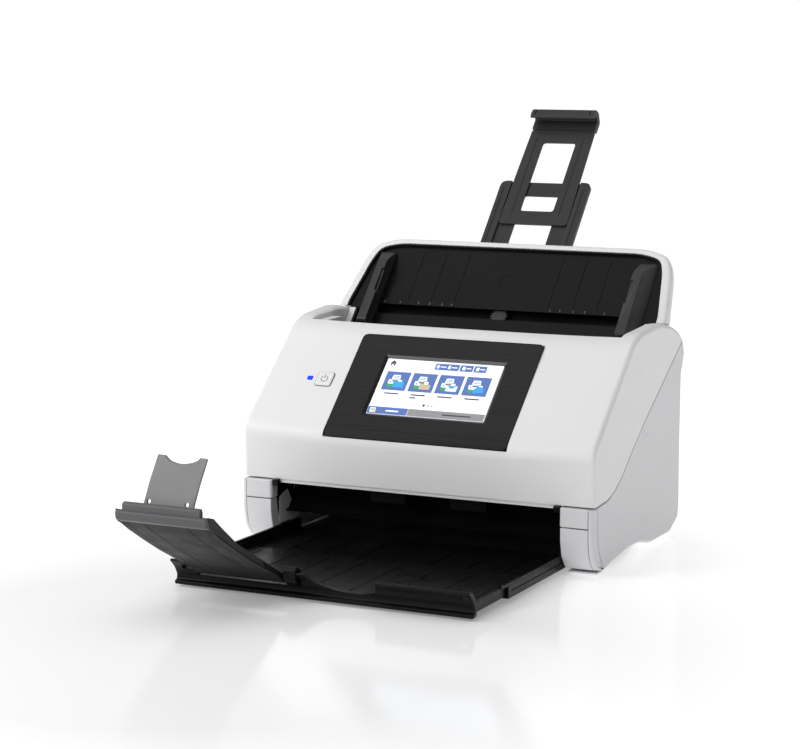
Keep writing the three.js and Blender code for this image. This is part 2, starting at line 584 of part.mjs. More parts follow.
function edgeGuides() {
  const side = [[-6.6, -3.2], [-4, 9, 3], [58, 9, 5], [73.6, -1, 1], [73.6, -3.2]];
  const flare = [[GUIDE_INNER, -3.1], [GUIDE_INNER, 12], [118, 12], [118, 8.8], [124.6, -3.1]];
  const sectionAlongS = (points, s0, s1) => {
    const geometry = extrude(points, s1 - s0, 2);
    const turn = new THREE.Matrix4().makeBasis(
      new THREE.Vector3(1, 0, 0), new THREE.Vector3(0, 0, 1), new THREE.Vector3(0, -1, 0),
    );
    geometry.applyMatrix4(turn);
    geometry.translate(0, s1, 0);
    return toSolid(geometry);
  };
  const [low, high] = GUIDE_SLOT;
  const middle = (low + high) / 2;
  const rackLine = { left: middle - RACK_PITCH_RADIUS - RACK_HEIGHT, right: middle + RACK_PITCH_RADIUS };
  for (const [name, sign] of [['left', -1], ['right', 1]]) {
    const ordered = (a, b) => [a * sign, b * sign].sort((p, q) => p - q);
    const section = flare.map(([x, n]) => [x * sign, n]);
    let guide = sectionAlongS(section, -12, 80).intersect(alongX(side, ...ordered(108, 128)));
    guide = guide.subtract(alongX([[26, 6.6], [27.4, 12], [50, 12], [49.4, 7.6]], ...ordered(107, 112)));
    const foot = box(...ordered(111, 118), low + 0.6, high - 0.6, -6.9, -2.8);
    const rackEnd = rackLine[name] + RACK_HEIGHT;
    const reach = [Math.min(rackLine[name], low + 0.6), Math.max(rackEnd, high - 0.6)];
    const bridge = box(...ordered(111, 118), ...reach, -6.9, -5.4);
    const rack = box(...ordered(-14, 118), rackLine[name], rackEnd, -6.9, -5.4);
    part(`${name}_edge_guide`, guide.add(foot).add(bridge).add(rack), LOOK.grey, feedPlane);
  }
  const points = [];
  const teeth = 2 * RACK_PITCH_RADIUS;
  for (let i = 0; i < teeth * 4; i += 1) {
    const radius = i % 4 < 2 ? RACK_PITCH_RADIUS - GAP : RACK_PITCH_RADIUS - 2;
    const angle = (i * Math.PI) / (2 * teeth);
    points.push([radius * Math.cos(angle), radius * Math.sin(angle)]);
  }
  part('guide_pinion', alongZ(points, -6.8, -5.4), LOOK.gear, feedPlane, [0, middle, 0]);
}

function extensionPlates() {
  const lower = alongZ([[-40, 52, 4], [42, 52, 4], [42, 160, 6], [-40, 160, 6]], -10.9, -7.2);
  const channel = box(-30.4, 32.4, 50, 165, -9.1, -5);
  let plate = lower.subtract(channel);
  plate = plate.subtract(alongZ([[-16, 70, 3], [18, 70, 3], [18, 146, 3], [-16, 146, 3]], -12, -5));
  part('extension_plate_lower', plate, LOOK.grey, feedPlane);
  let upper = alongZ([[-30, 114, 3], [32, 114, 3], [30, 217, 3], [-28, 217, 3]], -8.8, -7.2);
  upper = upper.subtract(alongZ([[-14, 128, 3], [16, 128, 3], [16, 203, 3], [-14, 203, 3]], -12, -5));
  part('extension_plate_upper', upper, LOOK.grey, feedPlane);
  const clip = [
    [217.3, -11.5], [229, -11.5, 2], [233.5, -3, 2], [231, 4, 2], [223, 5.5, 2], [221.4, 3],
    [227.5, -1, 1], [227, -6, 1], [217.3, -6],
  ];
  part('extension_end_clip', alongX(clip, -28, 30), LOOK.grey, feedPlane);
}

// ---------------------------------------------------------------- output tray and arm
function outputTrays() {
  const { half, front, rear, floor, top } = RAIL_TRAY;
  let rails = box(-half, half, front, rear, floor[0], top);
  rails = rails.subtract(box(-half + 1.9, half - 1.9, front - 1, rear + 1, floor[1], top + 1));
  part('output_tray_rear', rails, LOOK.black);

  const f = FRONT_TRAY;
  let tray = box(-f.half, f.half, f.front, f.rear, f.floor[0], f.top);
  tray = tray.subtract(box(-f.half + 1.8, f.half - 1.8, f.front - 1, f.rear + 1, f.floor[1], f.top + 1));
  const lip = [
    [-148, 5.5], [-151, 2.2], [-153.4, 2.2, 1], [-153, 8, 3], [-157, 15, 3], [-162.5, 20.8, 1],
    [-161, 22, 1], [-155, 20.6, 2], [-150.4, 14, 3], [-147, 6.9],
  ];
  tray = tray.add(alongX(lip, -f.half, f.half));
  tray = tray.subtract(box(ARM.left - 1.2, ARM.right + 1.2, -175, -145, 10.2, 30));
  tray = tray.subtract(rod(PIN_RADIUS + GAP, -112, -15, ...ARM_HINGE));
  const scoop = [
    [-15, 40], [-11, 21.4, 6], [-3, 14.6, 8], [12, 9.8, 10],
    [32, 9.2, 10], [44, 11.5, 5], [47, 22, 2], [48, 40],
  ];
  tray = tray.subtract(alongY(scoop, -175, -146.5));
  part('output_tray_front', tray, LOOK.black);
  part('arm_hinge_pin', rod(PIN_RADIUS, -108, -18, ...ARM_HINGE, 16), LOOK.steel);
}

function stackerArm() {
  const [hy, hz] = ARM_HINGE;
  const under = [
    [-159, 13.8], [-166, 19.3], [-187, 29.4], [-205, 38.5], [-225, 49.5], [-248, 63], [-258, 70],
  ];
  const top = [
    [-261.5, 79], [-254, 84], [-245, 76], [-224, 54.6], [-194, 38.4], [-166, 23.2], [-158.5, 19.4],
  ];
  let arm = alongX([...under, ...top], ARM.left, ARM.right);
  arm = arm.add(rod(3.6, ARM.left, ARM.right, hy, hz));
  const floor = under.slice(1, 5).map(([y, z]) => [y + 1, z + 1.8]);
  const channel = [...floor, [-246.4, 64.5], [-246.4, 95], [-220, 95], [-165, 40]];
  arm = arm.subtract(alongX(channel, ARM.left + 3, ARM.right - 3));
  const [fy, fz] = FLAP_HINGE;
  const pocket = [[fy - 4, fz - 4.4], [fy + 12, fz - 4.4], [fy + 12, fz + 12], [fy - 4, fz + 12]];
  arm = arm.subtract(alongX(pocket, FLAP.left - 0.5, FLAP.right + 0.5));
  arm = arm.add(rod(1, FLAP.left - 2, FLAP.right + 2, fy, fz, 12));
  arm = arm.subtract(rod(PIN_RADIUS + GAP, ARM.left - 2, ARM.right + 2, hy, hz));
  part('stacker_arm', arm, LOOK.grey);

  const cap = [[-258.6, 70.2], [-264.5, 73, 1], [-266, 82, 2], [-261.4, 84, 2], [-260.4, 82], [-262, 78.6]];
  part('arm_end_lip', alongX(cap, ARM.left + 2, ARM.right - 2), LOOK.lightGrey);

  const blade = sheet([[fy, fz + 1], [-246, 97], [-234.5, 113.6]], 2);
  let flap = alongX(blade, FLAP.left, FLAP.right).add(rod(2.4, FLAP.left, FLAP.right, fy, fz, 16));
  const notch = [
    [-75.8, 130], [-75.6, 112.9, 1], [-71, 110.4, 3], [-62.3, 108.8, 5], [-53.5, 110.5, 3], [-48.8, 113, 1],
    [-48.6, 130],
  ];
  flap = flap.subtract(alongY(notch, -270, -210));
  flap = flap.subtract(rod(1 + GAP, FLAP.left - 1, FLAP.right + 1, fy, fz, 16));
  part('stopper_flap', flap, LOOK.flap);
}

frontCover();
controlPanel();
powerButton();
coverGuide();
scanUnits();
coverLever();
sideCovers();
shoulders();
frontPosts();
rearCover();
sockets();
base();
lowerGuide();
gearTrain();
rollers();
inputTray();
edgeGuides();
extensionPlates();
outputTrays();
stackerArm();

const model = new THREE.Group();
scanner.position.y = -FOOTPRINT_MIDDLE_Y;
model.add(scanner);
model.updateMatrixWorld(true);

export default model;
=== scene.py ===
"""Looks of the sheet fed document scanner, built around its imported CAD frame."""
import json
import math

import bmesh
import bpy
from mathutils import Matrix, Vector


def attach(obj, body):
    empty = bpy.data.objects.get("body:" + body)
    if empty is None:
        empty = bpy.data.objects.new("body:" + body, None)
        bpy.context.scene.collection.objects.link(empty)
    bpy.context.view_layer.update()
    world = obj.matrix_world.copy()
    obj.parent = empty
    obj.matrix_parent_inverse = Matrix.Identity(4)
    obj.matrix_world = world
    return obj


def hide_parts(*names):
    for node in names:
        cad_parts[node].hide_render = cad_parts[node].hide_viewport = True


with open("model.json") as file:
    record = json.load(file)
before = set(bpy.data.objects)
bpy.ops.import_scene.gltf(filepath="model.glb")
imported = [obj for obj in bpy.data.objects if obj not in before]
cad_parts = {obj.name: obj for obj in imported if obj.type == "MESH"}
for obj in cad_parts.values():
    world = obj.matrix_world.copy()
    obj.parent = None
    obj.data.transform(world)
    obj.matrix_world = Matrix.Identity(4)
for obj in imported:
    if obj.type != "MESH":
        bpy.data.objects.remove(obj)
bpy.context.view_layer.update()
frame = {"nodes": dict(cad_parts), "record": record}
BODY_OF = {n: b for b, names in frame["record"]["behaviour"]["bodies"].items() for n in names}
SLOT_OF = {s["node"]: s["material_slot"] for s in frame["record"]["subparts"]}

# ---------------- dimensions, in mm, as in the CAD
MIDDLE_Y = 21.04
HALF = 148
THROAT = 134
CHEEK = (136.8, 145.2)
FEED = ((145, 161), math.radians(47.5))
PANEL = ((-3.5, 91.6), math.radians(43.2))
PANEL_HALF = 77.5
PANEL_TOP = 102.3
SCREEN = {"left": -49, "right": 51, "low": 24.7, "high": 80.2}
BUTTON = {"x": -95.4, "q": 54, "w": 13.6, "h": 13.2}
LAMP = {"x": -108.8, "q": 54.6, "w": 4.4, "h": 3.5}
HINGE = (-1.5, 50.5)
PIN = 1.5
GAP = 0.3
WALL = 2.8
LINER_HALF = 124
LIP_HALF = 125.9
SHAFT_DEPTH = -9.2
TYRE_RADIUS = 9
CORE_RADIUS = 3.2
WELD = 0.002
FLAT_ANGLE = 0.4
CREASE_ANGLE = 34


# ---------------- places
def spot(x, y, z):
    """A point of the shared frame, in metres, from CAD measures in mm."""
    return Vector((x, y - MIDDLE_Y, z)) / 1000


def on_plane(plane, along, square):
    """Y and Z of a point given along a sloped plane and square to it."""
    (y, z), slope = plane
    c, s = math.cos(slope), math.sin(slope)
    return y + along * c - square * s, z + along * s + square * c


def to_feed(y, z):
    (y0, z0), slope = FEED
    c, s = math.cos(slope), math.sin(slope)
    return (y - y0) * c + (z - z0) * s, -(y - y0) * s + (z - z0) * c


def in_feed(x, s, n):
    return spot(x, *on_plane(FEED, s, n))


def in_panel(x, q, n):
    return spot(x, *on_plane(PANEL, q, n))


# ---------------- outlines
def rounded(points, steps=6):
    """A closed outline. A third number is how far from the corner its rounding starts."""
    ring = []
    for i, point in enumerate(points):
        corner = Vector(point[:2])
        back = Vector(points[i - 1][:2]) - corner
        ahead = Vector(points[(i + 1) % len(points)][:2]) - corner
        wanted = point[2] if len(point) > 2 else 0
        soft = min(wanted, 0.48 * back.length, 0.48 * ahead.length)
        if soft <= 0:
            ring.append(corner)
            continue
        a = corner + back.normalized() * soft
        b = corner + ahead.normalized() * soft
        for k in range(steps + 1):
            t = k / steps
            ring.append(a * (1 - t) ** 2 + corner * 2 * t * (1 - t) + b * t * t)
    return ring


def area(points):
    pairs = zip(points, points[1:] + points[:1])
    return sum(p[0] * q[1] - q[0] * p[1] for p, q in pairs) / 2


def shrunk(points, walls):
    """The outline with each side moved inwards by its own distance."""
    if not isinstance(walls, (list, tuple)):
        walls = [walls] * len(points)
    turn = 1 if area(points) > 0 else -1
    count = len(points)
    sides = []
    for i in range(count):
        a = Vector(points[i][:2])
        b = Vector(points[(i + 1) % count][:2])
        along = (b - a).normalized()
        inward = Vector((-along.y, along.x)) * turn
        sides.append((a + inward * walls[i], along, inward, walls[i]))
    result = []
    for i, point in enumerate(points):
        (p, d, n, w), (q, e, m, v) = sides[i - 1], sides[i]
        cross = d.x * e.y - d.y * e.x
        if abs(cross) < 0.05:
            here = Vector(point[:2]) + (n * w + m * v) / 2
        else:
            step = q - p
            here = p + d * ((step.x * e.y - step.y * e.x) / cross)
        soft = point[2] if len(point) > 2 else 0
        result.append((here.x, here.y, max(0.05, soft - (w + v) / 4) if soft else 0))
    return result


def mirrored(half):
    return list(half) + [(-p[0], *p[1:]) for p in reversed(half)]


def rect(x0, x1, y0, y1, soft=0):
    return [(x0, y0, soft), (x1, y0, soft), (x1, y1, soft), (x0, y1, soft)]


def span(sign, inner, outer):
    """Two distances from the middle plane, in order, on one side of it."""
    return sorted((inner * sign, outer * sign))


def circle(x, y, radius, sides=24):
    turn = 2 * math.pi / sides
    return [(x + radius * math.cos(i * turn), y + radius * math.sin(i * turn)) for i in range(sides)]


# ---------------- solids
def to_mesh(bm, name="solid"):
    bmesh.ops.recalc_face_normals(bm, faces=bm.faces)
    mesh = bpy.data.meshes.new(name)
    bm.to_mesh(mesh)
    bm.free()
    return mesh


def joined(parts):
    """Several solids in one mesh."""
    bm = bmesh.new()
    for part in parts:
        bm.from_mesh(part)
        bpy.data.meshes.remove(part)
    return to_mesh(bm)


def placed(name, data):
    o = bpy.data.objects.new(name, data)
    bpy.context.scene.collection.objects.link(o)
    return o


def skin(rings):
    """A closed solid through rings with the same number of points."""
    bm = bmesh.new()
    rows = [[bm.verts.new(p) for p in ring] for ring in rings]
    count = len(rows[0])
    for low, high in zip(rows, rows[1:]):
        for i in range(count):
            j = (i + 1) % count
            bm.faces.new((low[i], low[j], high[j], high[i]))
    bm.faces.new(rows[0])
    bm.faces.new(rows[-1])
    return to_mesh(bm)


ORDER = {
    "x": lambda u, v, w: (w, u, v),
    "y": lambda u, v, w: (u, w, v),
    "z": lambda u, v, w: (u, v, w),
}


def prism(points, low, high, along="x", place=spot, steps=6):
    """An outline pushed along one axis of its place; the outline holds the other two in order."""
    ring = rounded(points, steps)
    ends = [[place(*ORDER[along](p.x, p.y, w)) for p in ring] for w in (low, high)]
    return skin(ends)


def quarter(count):
    """The angles of a quarter turn in even steps."""
    return [math.radians(90 * i / count) for i in range(count + 1)]


def rolled_end(points, end, edge, shares, count, to_place, steps):
    """The rings of one rolled over end; a negative edge rolls back from the far end."""
    rings = []
    for a in quarter(count):
        inset, depth = abs(edge) * (1 - math.sin(a)), edge * (1 - math.cos(a))
        ring = rounded(shrunk(points, [inset * share for share in shares]), steps)
        rings.append([to_place(p.x, p.y, end + depth) for p in ring])
    return rings


def soft_prism(points, low, high, edge, along="x", place=spot, steps=6):
    """A prism whose two ends are rolled over: edge is the size of the rolling."""
    def to_place(u, v, w):
        return place(*ORDER[along](u, v, w))
    shares = [1] * len(points)
    near = rolled_end(points, low, edge, shares, 4, to_place, steps)
    far = rolled_end(points, high, -edge, shares, 4, to_place, steps)
    return skin(near + far[::-1])


def block(x0, x1, y0, y1, z0, z1, place=spot):
    return prism(rect(x0, x1, y0, y1), z0, z1, "z", place)


def turned(profile, centre, place=spot, sides=32):
    """A turned solid about X, from (x, radius) pairs."""
    return skin([place(x, u, v) for u, v in circle(*centre, radius, sides)] for x, radius in profile)


def rod(radius, x0, x1, centre, place=spot, sides=32):
    return turned([(x0, radius), (x1, radius)], centre, place, sides)


def cad_mesh(node):
    """A welded copy of a CAD node's mesh, closed so that it can be cut."""
    bm = bmesh.new()
    bm.from_mesh(frame["nodes"][node].data)
    bmesh.ops.remove_doubles(bm, verts=bm.verts, dist=WELD / 2000)
    return to_mesh(bm)


def modified(mesh, kind, **settings):
    """The mesh after one modifier."""
    o = placed("worked", mesh)
    step = o.modifiers.new("step", kind)
    for key, value in settings.items():
        setattr(step, key, value)
    graph = bpy.context.evaluated_depsgraph_get()
    result = bpy.data.meshes.new_from_object(o.evaluated_get(graph))
    bpy.data.objects.remove(o)
    bpy.data.meshes.remove(mesh)
    return result


def combine(base, tool, operation):
    o = placed("tool", tool)
    result = modified(base, "BOOLEAN", operation=operation, object=o, solver="MANIFOLD")
    bpy.data.objects.remove(o)
    bpy.data.meshes.remove(tool)
    return result


def minus(base, *tools):
    for tool in tools:
        base = combine(base, tool, "DIFFERENCE")
    return base


def plus(base, *tools):
    for tool in tools:
        base = combine(base, tool, "UNION")
    return base


# ---------------- pieces
def eased(mesh, bevel, angle=32, join=True):
    """Welds the mesh, joins its flat faces, rounds its sharp edges and shades its broad faces flat."""
    bm = bmesh.new()
    bm.from_mesh(mesh)
    bmesh.ops.remove_doubles(bm, verts=bm.verts, dist=WELD / 1000)
    bmesh.ops.dissolve_degenerate(bm, edges=bm.edges, dist=WELD / 1000)
    if join:
        bmesh.ops.dissolve_limit(
            bm, angle_limit=math.radians(FLAT_ANGLE), verts=bm.verts, edges=bm.edges,
            use_dissolve_boundaries=False,
        )
    bm.to_mesh(mesh)
    bm.free()
    if bevel:
        mesh = modified(
            mesh, "BEVEL", width=bevel / 1000, segments=3, limit_method="ANGLE",
            angle_limit=math.radians(angle), miter_outer="MITER_ARC", use_clamp_overlap=True,
        )
    bm = bmesh.new()
    bm.from_mesh(mesh)
    for face in bm.faces:
        face.smooth = True
    for edge in bm.edges:
        edge.smooth = len(edge.link_faces) == 2 and edge.calc_face_angle(0) < math.radians(CREASE_ANGLE)
    bm.to_mesh(mesh)
    bm.free()
    return modified(mesh, "WEIGHTED_NORMAL", keep_sharp=True)


def piece(name, mesh, nodes, look=None, bevel=0.35, angle=32, body=None, slot=None, join=True):
    """A finished piece that stands for CAD nodes, with its bevels, body and look."""
    nodes = [nodes] if isinstance(nodes, str) else list(nodes)
    mesh = eased(mesh, bevel, angle, join)
    mesh.name = name
    o = placed(name, mesh)
    slot = slot or SLOT_OF[nodes[0]]
    mesh.materials.clear()
    mesh.materials.append(look or LOOK[slot])
    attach(o, body or BODY_OF[nodes[0]])
    if nodes:
        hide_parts(*nodes)
    return o


def detail(name, mesh, body, look, slot, bevel=0.15, angle=32):
    """A small extra piece that rides on a body and replaces nothing."""
    return piece(name, mesh, [], look, bevel, angle, body, slot)


def refine(node, bevel=0.3, look=None, angle=32, join=True):
    """The CAD node's own shape with welded faces and rounded edges."""
    mesh = cad_mesh(node)
    return piece(node + "_look", mesh, node, look, bevel, angle, join=join)


# ---------------- materials
def new_material(name):
    mat = bpy.data.materials.new(name)
    mat.use_nodes = True
    tree = mat.node_tree
    return mat, tree, tree.nodes["Principled BSDF"]


def fill(node, **values):
    """Sets or links a node's inputs, or sets its own options; an underscore stands for a space."""
    for key, value in values.items():
        socket = node.inputs.get(key.replace("_", " "))
        if socket is None:
            setattr(node, key, value)
        elif isinstance(value, bpy.types.NodeSocket):
            node.id_data.links.new(value, socket)
        else:
            socket.default_value = value
    return node


def add(tree, kind, **values):
    return fill(tree.nodes.new(kind), **values)


def noise(tree, scale, octaves=3, stretch=None):
    source = add(tree, "ShaderNodeTexCoord").outputs["Object"]
    if stretch:
        source = add(tree, "ShaderNodeMapping", Vector=source, Scale=stretch).outputs["Vector"]
    return add(tree, "ShaderNodeTexNoise", Vector=source, Scale=scale, Detail=octaves).outputs["Fac"]


def spread(tree, source, low, high, start=0.0, end=1.0):
    """A value between low and high, driven by a source between start and end."""
    made = add(
        tree, "ShaderNodeMapRange", Value=source, From_Min=start, From_Max=end, To_Min=low, To_Max=high,
    )
    return made.outputs["Result"]


def two_colours(tree, factor, a, b):
    made = add(tree, "ShaderNodeMix", data_type="RGBA", Factor=factor)
    for socket, value in zip((made.inputs[6], made.inputs[7]), (a, b)):
        if isinstance(value, tuple):
            socket.default_value = (*value, 1)
        else:
            tree.links.new(value, socket)
    return made.outputs[2]


def scaled(color, k):
    return tuple(min(1, c * k) for c in color)


def moulded(name, color, rough=0.4, grain=1500, depth=0.00003, wear=0.0, mottle=0.03, shine=0.5,
            glow=0.0, strength=0.25):
    """Moulded plastic: faint clouding, uneven gloss, a fine spark grain and rubbed edges."""
    mat, tree, shader = new_material(name)
    cloud = spread(tree, noise(tree, 22, 4), 0, 1, 0.3, 0.7)
    tint = two_colours(tree, cloud, scaled(color, 1 - mottle), scaled(color, 1 + mottle))
    if wear:
        edge = add(tree, "ShaderNodeNewGeometry").outputs["Pointiness"]
        rubbed = spread(tree, edge, 0, wear, 0.52, 0.62)
        tint = two_colours(tree, rubbed, tint, scaled(color, 4))
    patch = spread(tree, noise(tree, 75, 5), rough - 0.05, rough + 0.06, 0.3, 0.7)
    bump = add(tree, "ShaderNodeBump", Strength=strength, Distance=depth, Height=noise(tree, grain, 2))
    fill(
        shader, Base_Color=tint, Roughness=patch, Normal=bump.outputs["Normal"], Specular_IOR_Level=shine,
    )
    if glow:
        fill(shader, Emission_Color=(*color, 1), Emission_Strength=glow)
    return mat


def brushed(name, color, rough=0.3, metallic=0.0, stretch=(6, 900, 900), contrast=0.12, shine=0.5):
    """Fine straight lines along X, as on brushed metal or a brushed film."""
    mat, tree, shader = new_material(name)
    lines = noise(tree, 1.0, 6, stretch)
    streak = spread(tree, lines, 0, 1, 0.32, 0.68)
    tint = two_colours(tree, streak, scaled(color, 1 - contrast), scaled(color, 1 + contrast))
    gloss = spread(tree, lines, rough - 0.06, rough + 0.08, 0.3, 0.7)
    bump = add(tree, "ShaderNodeBump", Strength=0.3, Distance=0.00004, Height=lines)
    fill(
        shader, Base_Color=tint, Roughness=gloss, Normal=bump.outputs["Normal"],
        Specular_IOR_Level=shine, Metallic=metallic,
    )
    return mat


def clear_glass(name, color):
    mat, tree, shader = new_material(name)
    smudge = spread(tree, noise(tree, 40, 4), 0.03, 0.1, 0.35, 0.7)
    tint = two_colours(tree, noise(tree, 15, 2), scaled(color, 0.95), scaled(color, 1.05))
    fill(shader, Base_Color=tint, Roughness=smudge, Coat_Weight=0.6)
    return mat


def screen_ink(name, color, glow=0.35):
    """One colour of the lit display, with the fine mesh of its picture cells."""
    mat, tree, shader = new_material(name)
    cells = noise(tree, 900, 1)
    tint = two_colours(tree, cells, scaled(color, 0.97), scaled(color, 1.03))
    gloss = spread(tree, noise(tree, 60, 3), 0.12, 0.2)
    fill(shader, Base_Color=tint, Emission_Color=tint, Roughness=gloss, Emission_Strength=glow)
    return mat


LOOK = {
    "white": moulded("white_shell", (0.80, 0.80, 0.81), 0.42, mottle=0.008, strength=0.2),
    "white_side": moulded("white_side_shell", (0.7, 0.7, 0.715), 0.45, mottle=0.008, strength=0.2),
    "black": moulded("black_shell", (0.0045, 0.0045, 0.005), 0.3, 1300, wear=0.12, mottle=0.12, shine=0.12),
    "panel_black": brushed("brushed_black_film", (0.009, 0.009, 0.0095), 0.32, contrast=0.45, shine=0.2),
    "screen": screen_ink("display_white", (0.86, 0.9, 0.97)),
    "lamp": moulded("lit_blue_lens", (0.002, 0.035, 0.85), 0.25, glow=0.8, shine=0.2),
    "grey": moulded("charcoal_shell", (0.022, 0.022, 0.024), 0.42, 1300, wear=0.3, mottle=0.08, shine=0.3),
    "light_grey": moulded(
        "mid_grey_shell", (0.12, 0.12, 0.125), 0.45, 1300, wear=0.15, mottle=0.05, shine=0.35,
    ),
    "steel": brushed("brushed_steel", (0.55, 0.55, 0.57), 0.32, 1.0, (8, 700, 700)),
    "rubber": moulded("ribbed_rubber", (0.022, 0.022, 0.023), 0.75, 2200, 0.00008, mottle=0.15, strength=0.6),
    "gear": moulded("acetal_gear", (0.72, 0.7, 0.62), 0.38, mottle=0.04),
    "board": moulded("circuit_board", (0.02, 0.16, 0.06), 0.4, 500, mottle=0.2),
    "glass": clear_glass("scan_glass", (0.12, 0.16, 0.17)),
}
FLAP_GREY = moulded("flap_grey", (0.19, 0.19, 0.195), 0.5, 1300, wear=0.12, mottle=0.03, shine=0.35)
ARM_GREY = moulded("arm_grey", (0.034, 0.034, 0.036), 0.45, 1300, wear=0.25, mottle=0.06, shine=0.3)
ARM_DARK = moulded("arm_underside", (0.006, 0.006, 0.0065), 0.5, 1300, wear=0.2, mottle=0.1, shine=0.2)
GUIDE_GREY = moulded("guide_grey", (0.024, 0.024, 0.0255), 0.42, 1300, wear=0.3, mottle=0.06, shine=0.35)
LIP_GREY = moulded("lip_grey", (0.09, 0.09, 0.094), 0.45, 1300, wear=0.2, mottle=0.05, shine=0.3)


# ---------------- cover
COVER_SIDE = [
    (-1, 53), (-2.2, 94.5, 8), (85.4, 170.9, 13), (138, 175, 14), (165, 170, 10), (184, 163, 6),
    (193, 156.6), (102, 100.4), (71.5, 79, 5), (55, 66.5, 5), (41, 59, 5), (27, 54.4, 5), (5, 53),
]
COVER_NOSE = (-4, 91)
COVER_CREST = (79, 167.4)
COVER_SHARES = [0.55, 1, 1, 1, 1, 1] + [0.05] * 7
SIDE_EDGE = 3.8
SHOULDER_ROUND = 7


def swept(outline_at, stations, shares):
    """A solid along X whose outline changes from station to station and shrinks by a given inset."""
    rings = []
    for x, inset in stations:
        points = shrunk(outline_at(x), [inset * share for share in shares])
        rings.append([spot(x, p.x, p.y) for p in rounded(points, 8)])
    return skin(rings)


def rolled_stations(low, high, edge_low, edge_high, middle=()):
    """Stations that roll the ends over by a quarter of an ellipse."""
    def end(x, edge):
        arcs = quarter(6) if edge else [0]
        return [(x + edge * (1 - math.cos(a)), abs(edge) * (1 - math.sin(a))) for a in arcs]
    return end(low, edge_low) + [(x, 0) for x in middle] + end(high, -edge_high)[::-1]


def shoulder_dip(x):
    """How far the shoulder's top has rolled down on its way to the throat."""
    t = min(0.97, max(0, (THROAT + SHOULDER_ROUND - abs(x)) / SHOULDER_ROUND))
    return 4.4 * (1 - math.sqrt(1 - t * t))


def cover_outline(x):
    """The cover's side outline, with its face crowned towards the middle."""
    crown = 1 - (abs(x) / HALF) ** 3
    points = list(COVER_SIDE)
    for i, share in ((3, 1), (4, 0.8), (5, 0.4)):
        y, z, soft = points[i]
        points[i] = (y, z - shoulder_dip(x) * share, soft)
    for i, (middle, soft) in ((1, (COVER_NOSE, 8)), (2, (COVER_CREST, 16))):
        y = points[i][0] + (middle[0] - points[i][0]) * crown
        z = points[i][1] + (middle[1] - points[i][1]) * crown
        points[i] = (y, z, soft)
    return points


def panel_box(q0, q1, n0, n1):
    return [on_plane(PANEL, q, n) for q, n in ((q0, n0), (q1, n0), (q1, n1), (q0, n1))]


def key_outline(key, grow, soft):
    """The outline of the button or the lamp on the panel plane, grown all round."""
    w, h = key["w"] / 2 + grow, key["h"] / 2 + grow
    return rect(key["x"] - w, key["x"] + w, key["q"] - h, key["q"] + h, soft)


def front_cover():
    near = [134, 135, 136.2, 137.6, 139, 141]
    middle = [-x for x in reversed(near)] + list(range(-132, 133, 12)) + near
    shell = swept(cover_outline, rolled_stations(-HALF, HALF, SIDE_EDGE, SIDE_EDGE, middle), COVER_SHARES)
    face = [(-1, 30), (-2.2, 94.5, 8), (85.4, 170.9, 13)]
    inner = shrunk(face + [(138, 175), (138, 30)], WALL)[:3]
    room = [(inner[0][0], 30), inner[1], (84.6, 163), (88, 166), (88, 230), (160, 230), (160, 30)]
    cheek = [(inner[0][0], 30), inner[1], inner[2], (138, 167, 14), (147.7, 166), (147.7, 30)]
    lever_room = [(83.9, 162), (83.9, 164.2), (86.9, 167.4), (90, 167.4), (90, 162)]
    well = panel_box(SCREEN["low"] - 4, SCREEN["high"] + 4, -14, 0)
    shell = minus(
        shell,
        prism(room, -THROAT, THROAT),
        prism(lever_room, -THROAT, -123.4),
        block(-CHEEK[1], CHEEK[1], 150.5, 230, 30, 230),
        prism(cheek, -CHEEK[1], -CHEEK[0]),
        prism(cheek, CHEEK[0], CHEEK[1]),
        prism(panel_box(-GAP, PANEL_TOP + GAP, -4.3, 8), -PANEL_HALF - GAP, PANEL_HALF + GAP),
        prism(well, SCREEN["left"] - 4, SCREEN["right"] + 4),
        prism(key_outline(BUTTON, 0.45, 2.4), -12, 8, "z", in_panel),
        prism(key_outline(LAMP, GAP, 0.8), -12, 8, "z", in_panel),
    )
    piece("cover_shell", shell, "front_cover", bevel=0.45, angle=40)
    lip = block(-122.6, 122.6, 0.3, 1.2, 49.8, 53.1)
    detail("cover_lower_lip", lip, "cover", LOOK["white"], "white", 0.3)


def control_panel():
    side = [(0, -1.7, 0.9), (11, 0, 9), (PANEL_TOP, 0, 0.9), (PANEL_TOP, -4), (0, -4)]
    plate = prism(side, -PANEL_HALF, PANEL_HALF, "x", in_panel, 8)
    face = rect(-PANEL_HALF, PANEL_HALF, 0, PANEL_TOP, 5)
    plate = combine(plate, prism(face, -6, 2, "z", in_panel), "INTERSECT")
    x0, x1, q0, q1 = SCREEN["left"], SCREEN["right"], SCREEN["low"], SCREEN["high"]
    rings = []
    for n, grow in ((1, 2.4), (0, 2.4), (-1.5, 0.1), (-6, 0.1)):
        ring = rounded(rect(x0 - grow, x1 + grow, q0 - grow, q1 + grow, 1), 4)
        rings.append([in_panel(p.x, p.y, n) for p in ring])
    piece("panel_frame", minus(plate, skin(rings)), "control_panel_frame", bevel=0.5, angle=24)
    # Painted highlight: the window's top chamfer is a lighter grey strip than the black panel around it.
    ledge = [(q1 + 2.3, 0.04), (q1 + 0.12, -1.42), (q1 + 0.12, -2), (q1 + 2.3, -0.6)]
    strip = prism(ledge, x0 - 1.6, x1 + 1.6, "x", in_panel)
    detail("panel_window_ledge", strip, "cover", LIP_GREY, "panel_black", 0.1)
    outside, inside = (
        rect(-PANEL_HALF - grow, PANEL_HALF + grow, -grow, PANEL_TOP + grow, soft)
        for grow, soft in ((0.26, 5.2), (0.02, 5))
    )
    edge = minus(prism(outside, -1.6, -0.12, "z", in_panel), prism(inside, -3, 1, "z", in_panel))
    detail("panel_seam", edge, "cover", LOOK["black"], "panel_black", 0)


def on_screen(u, v):
    """A point of the display, counted to the right and down from its upper left corner."""
    return SCREEN["left"] + u, SCREEN["high"] - v


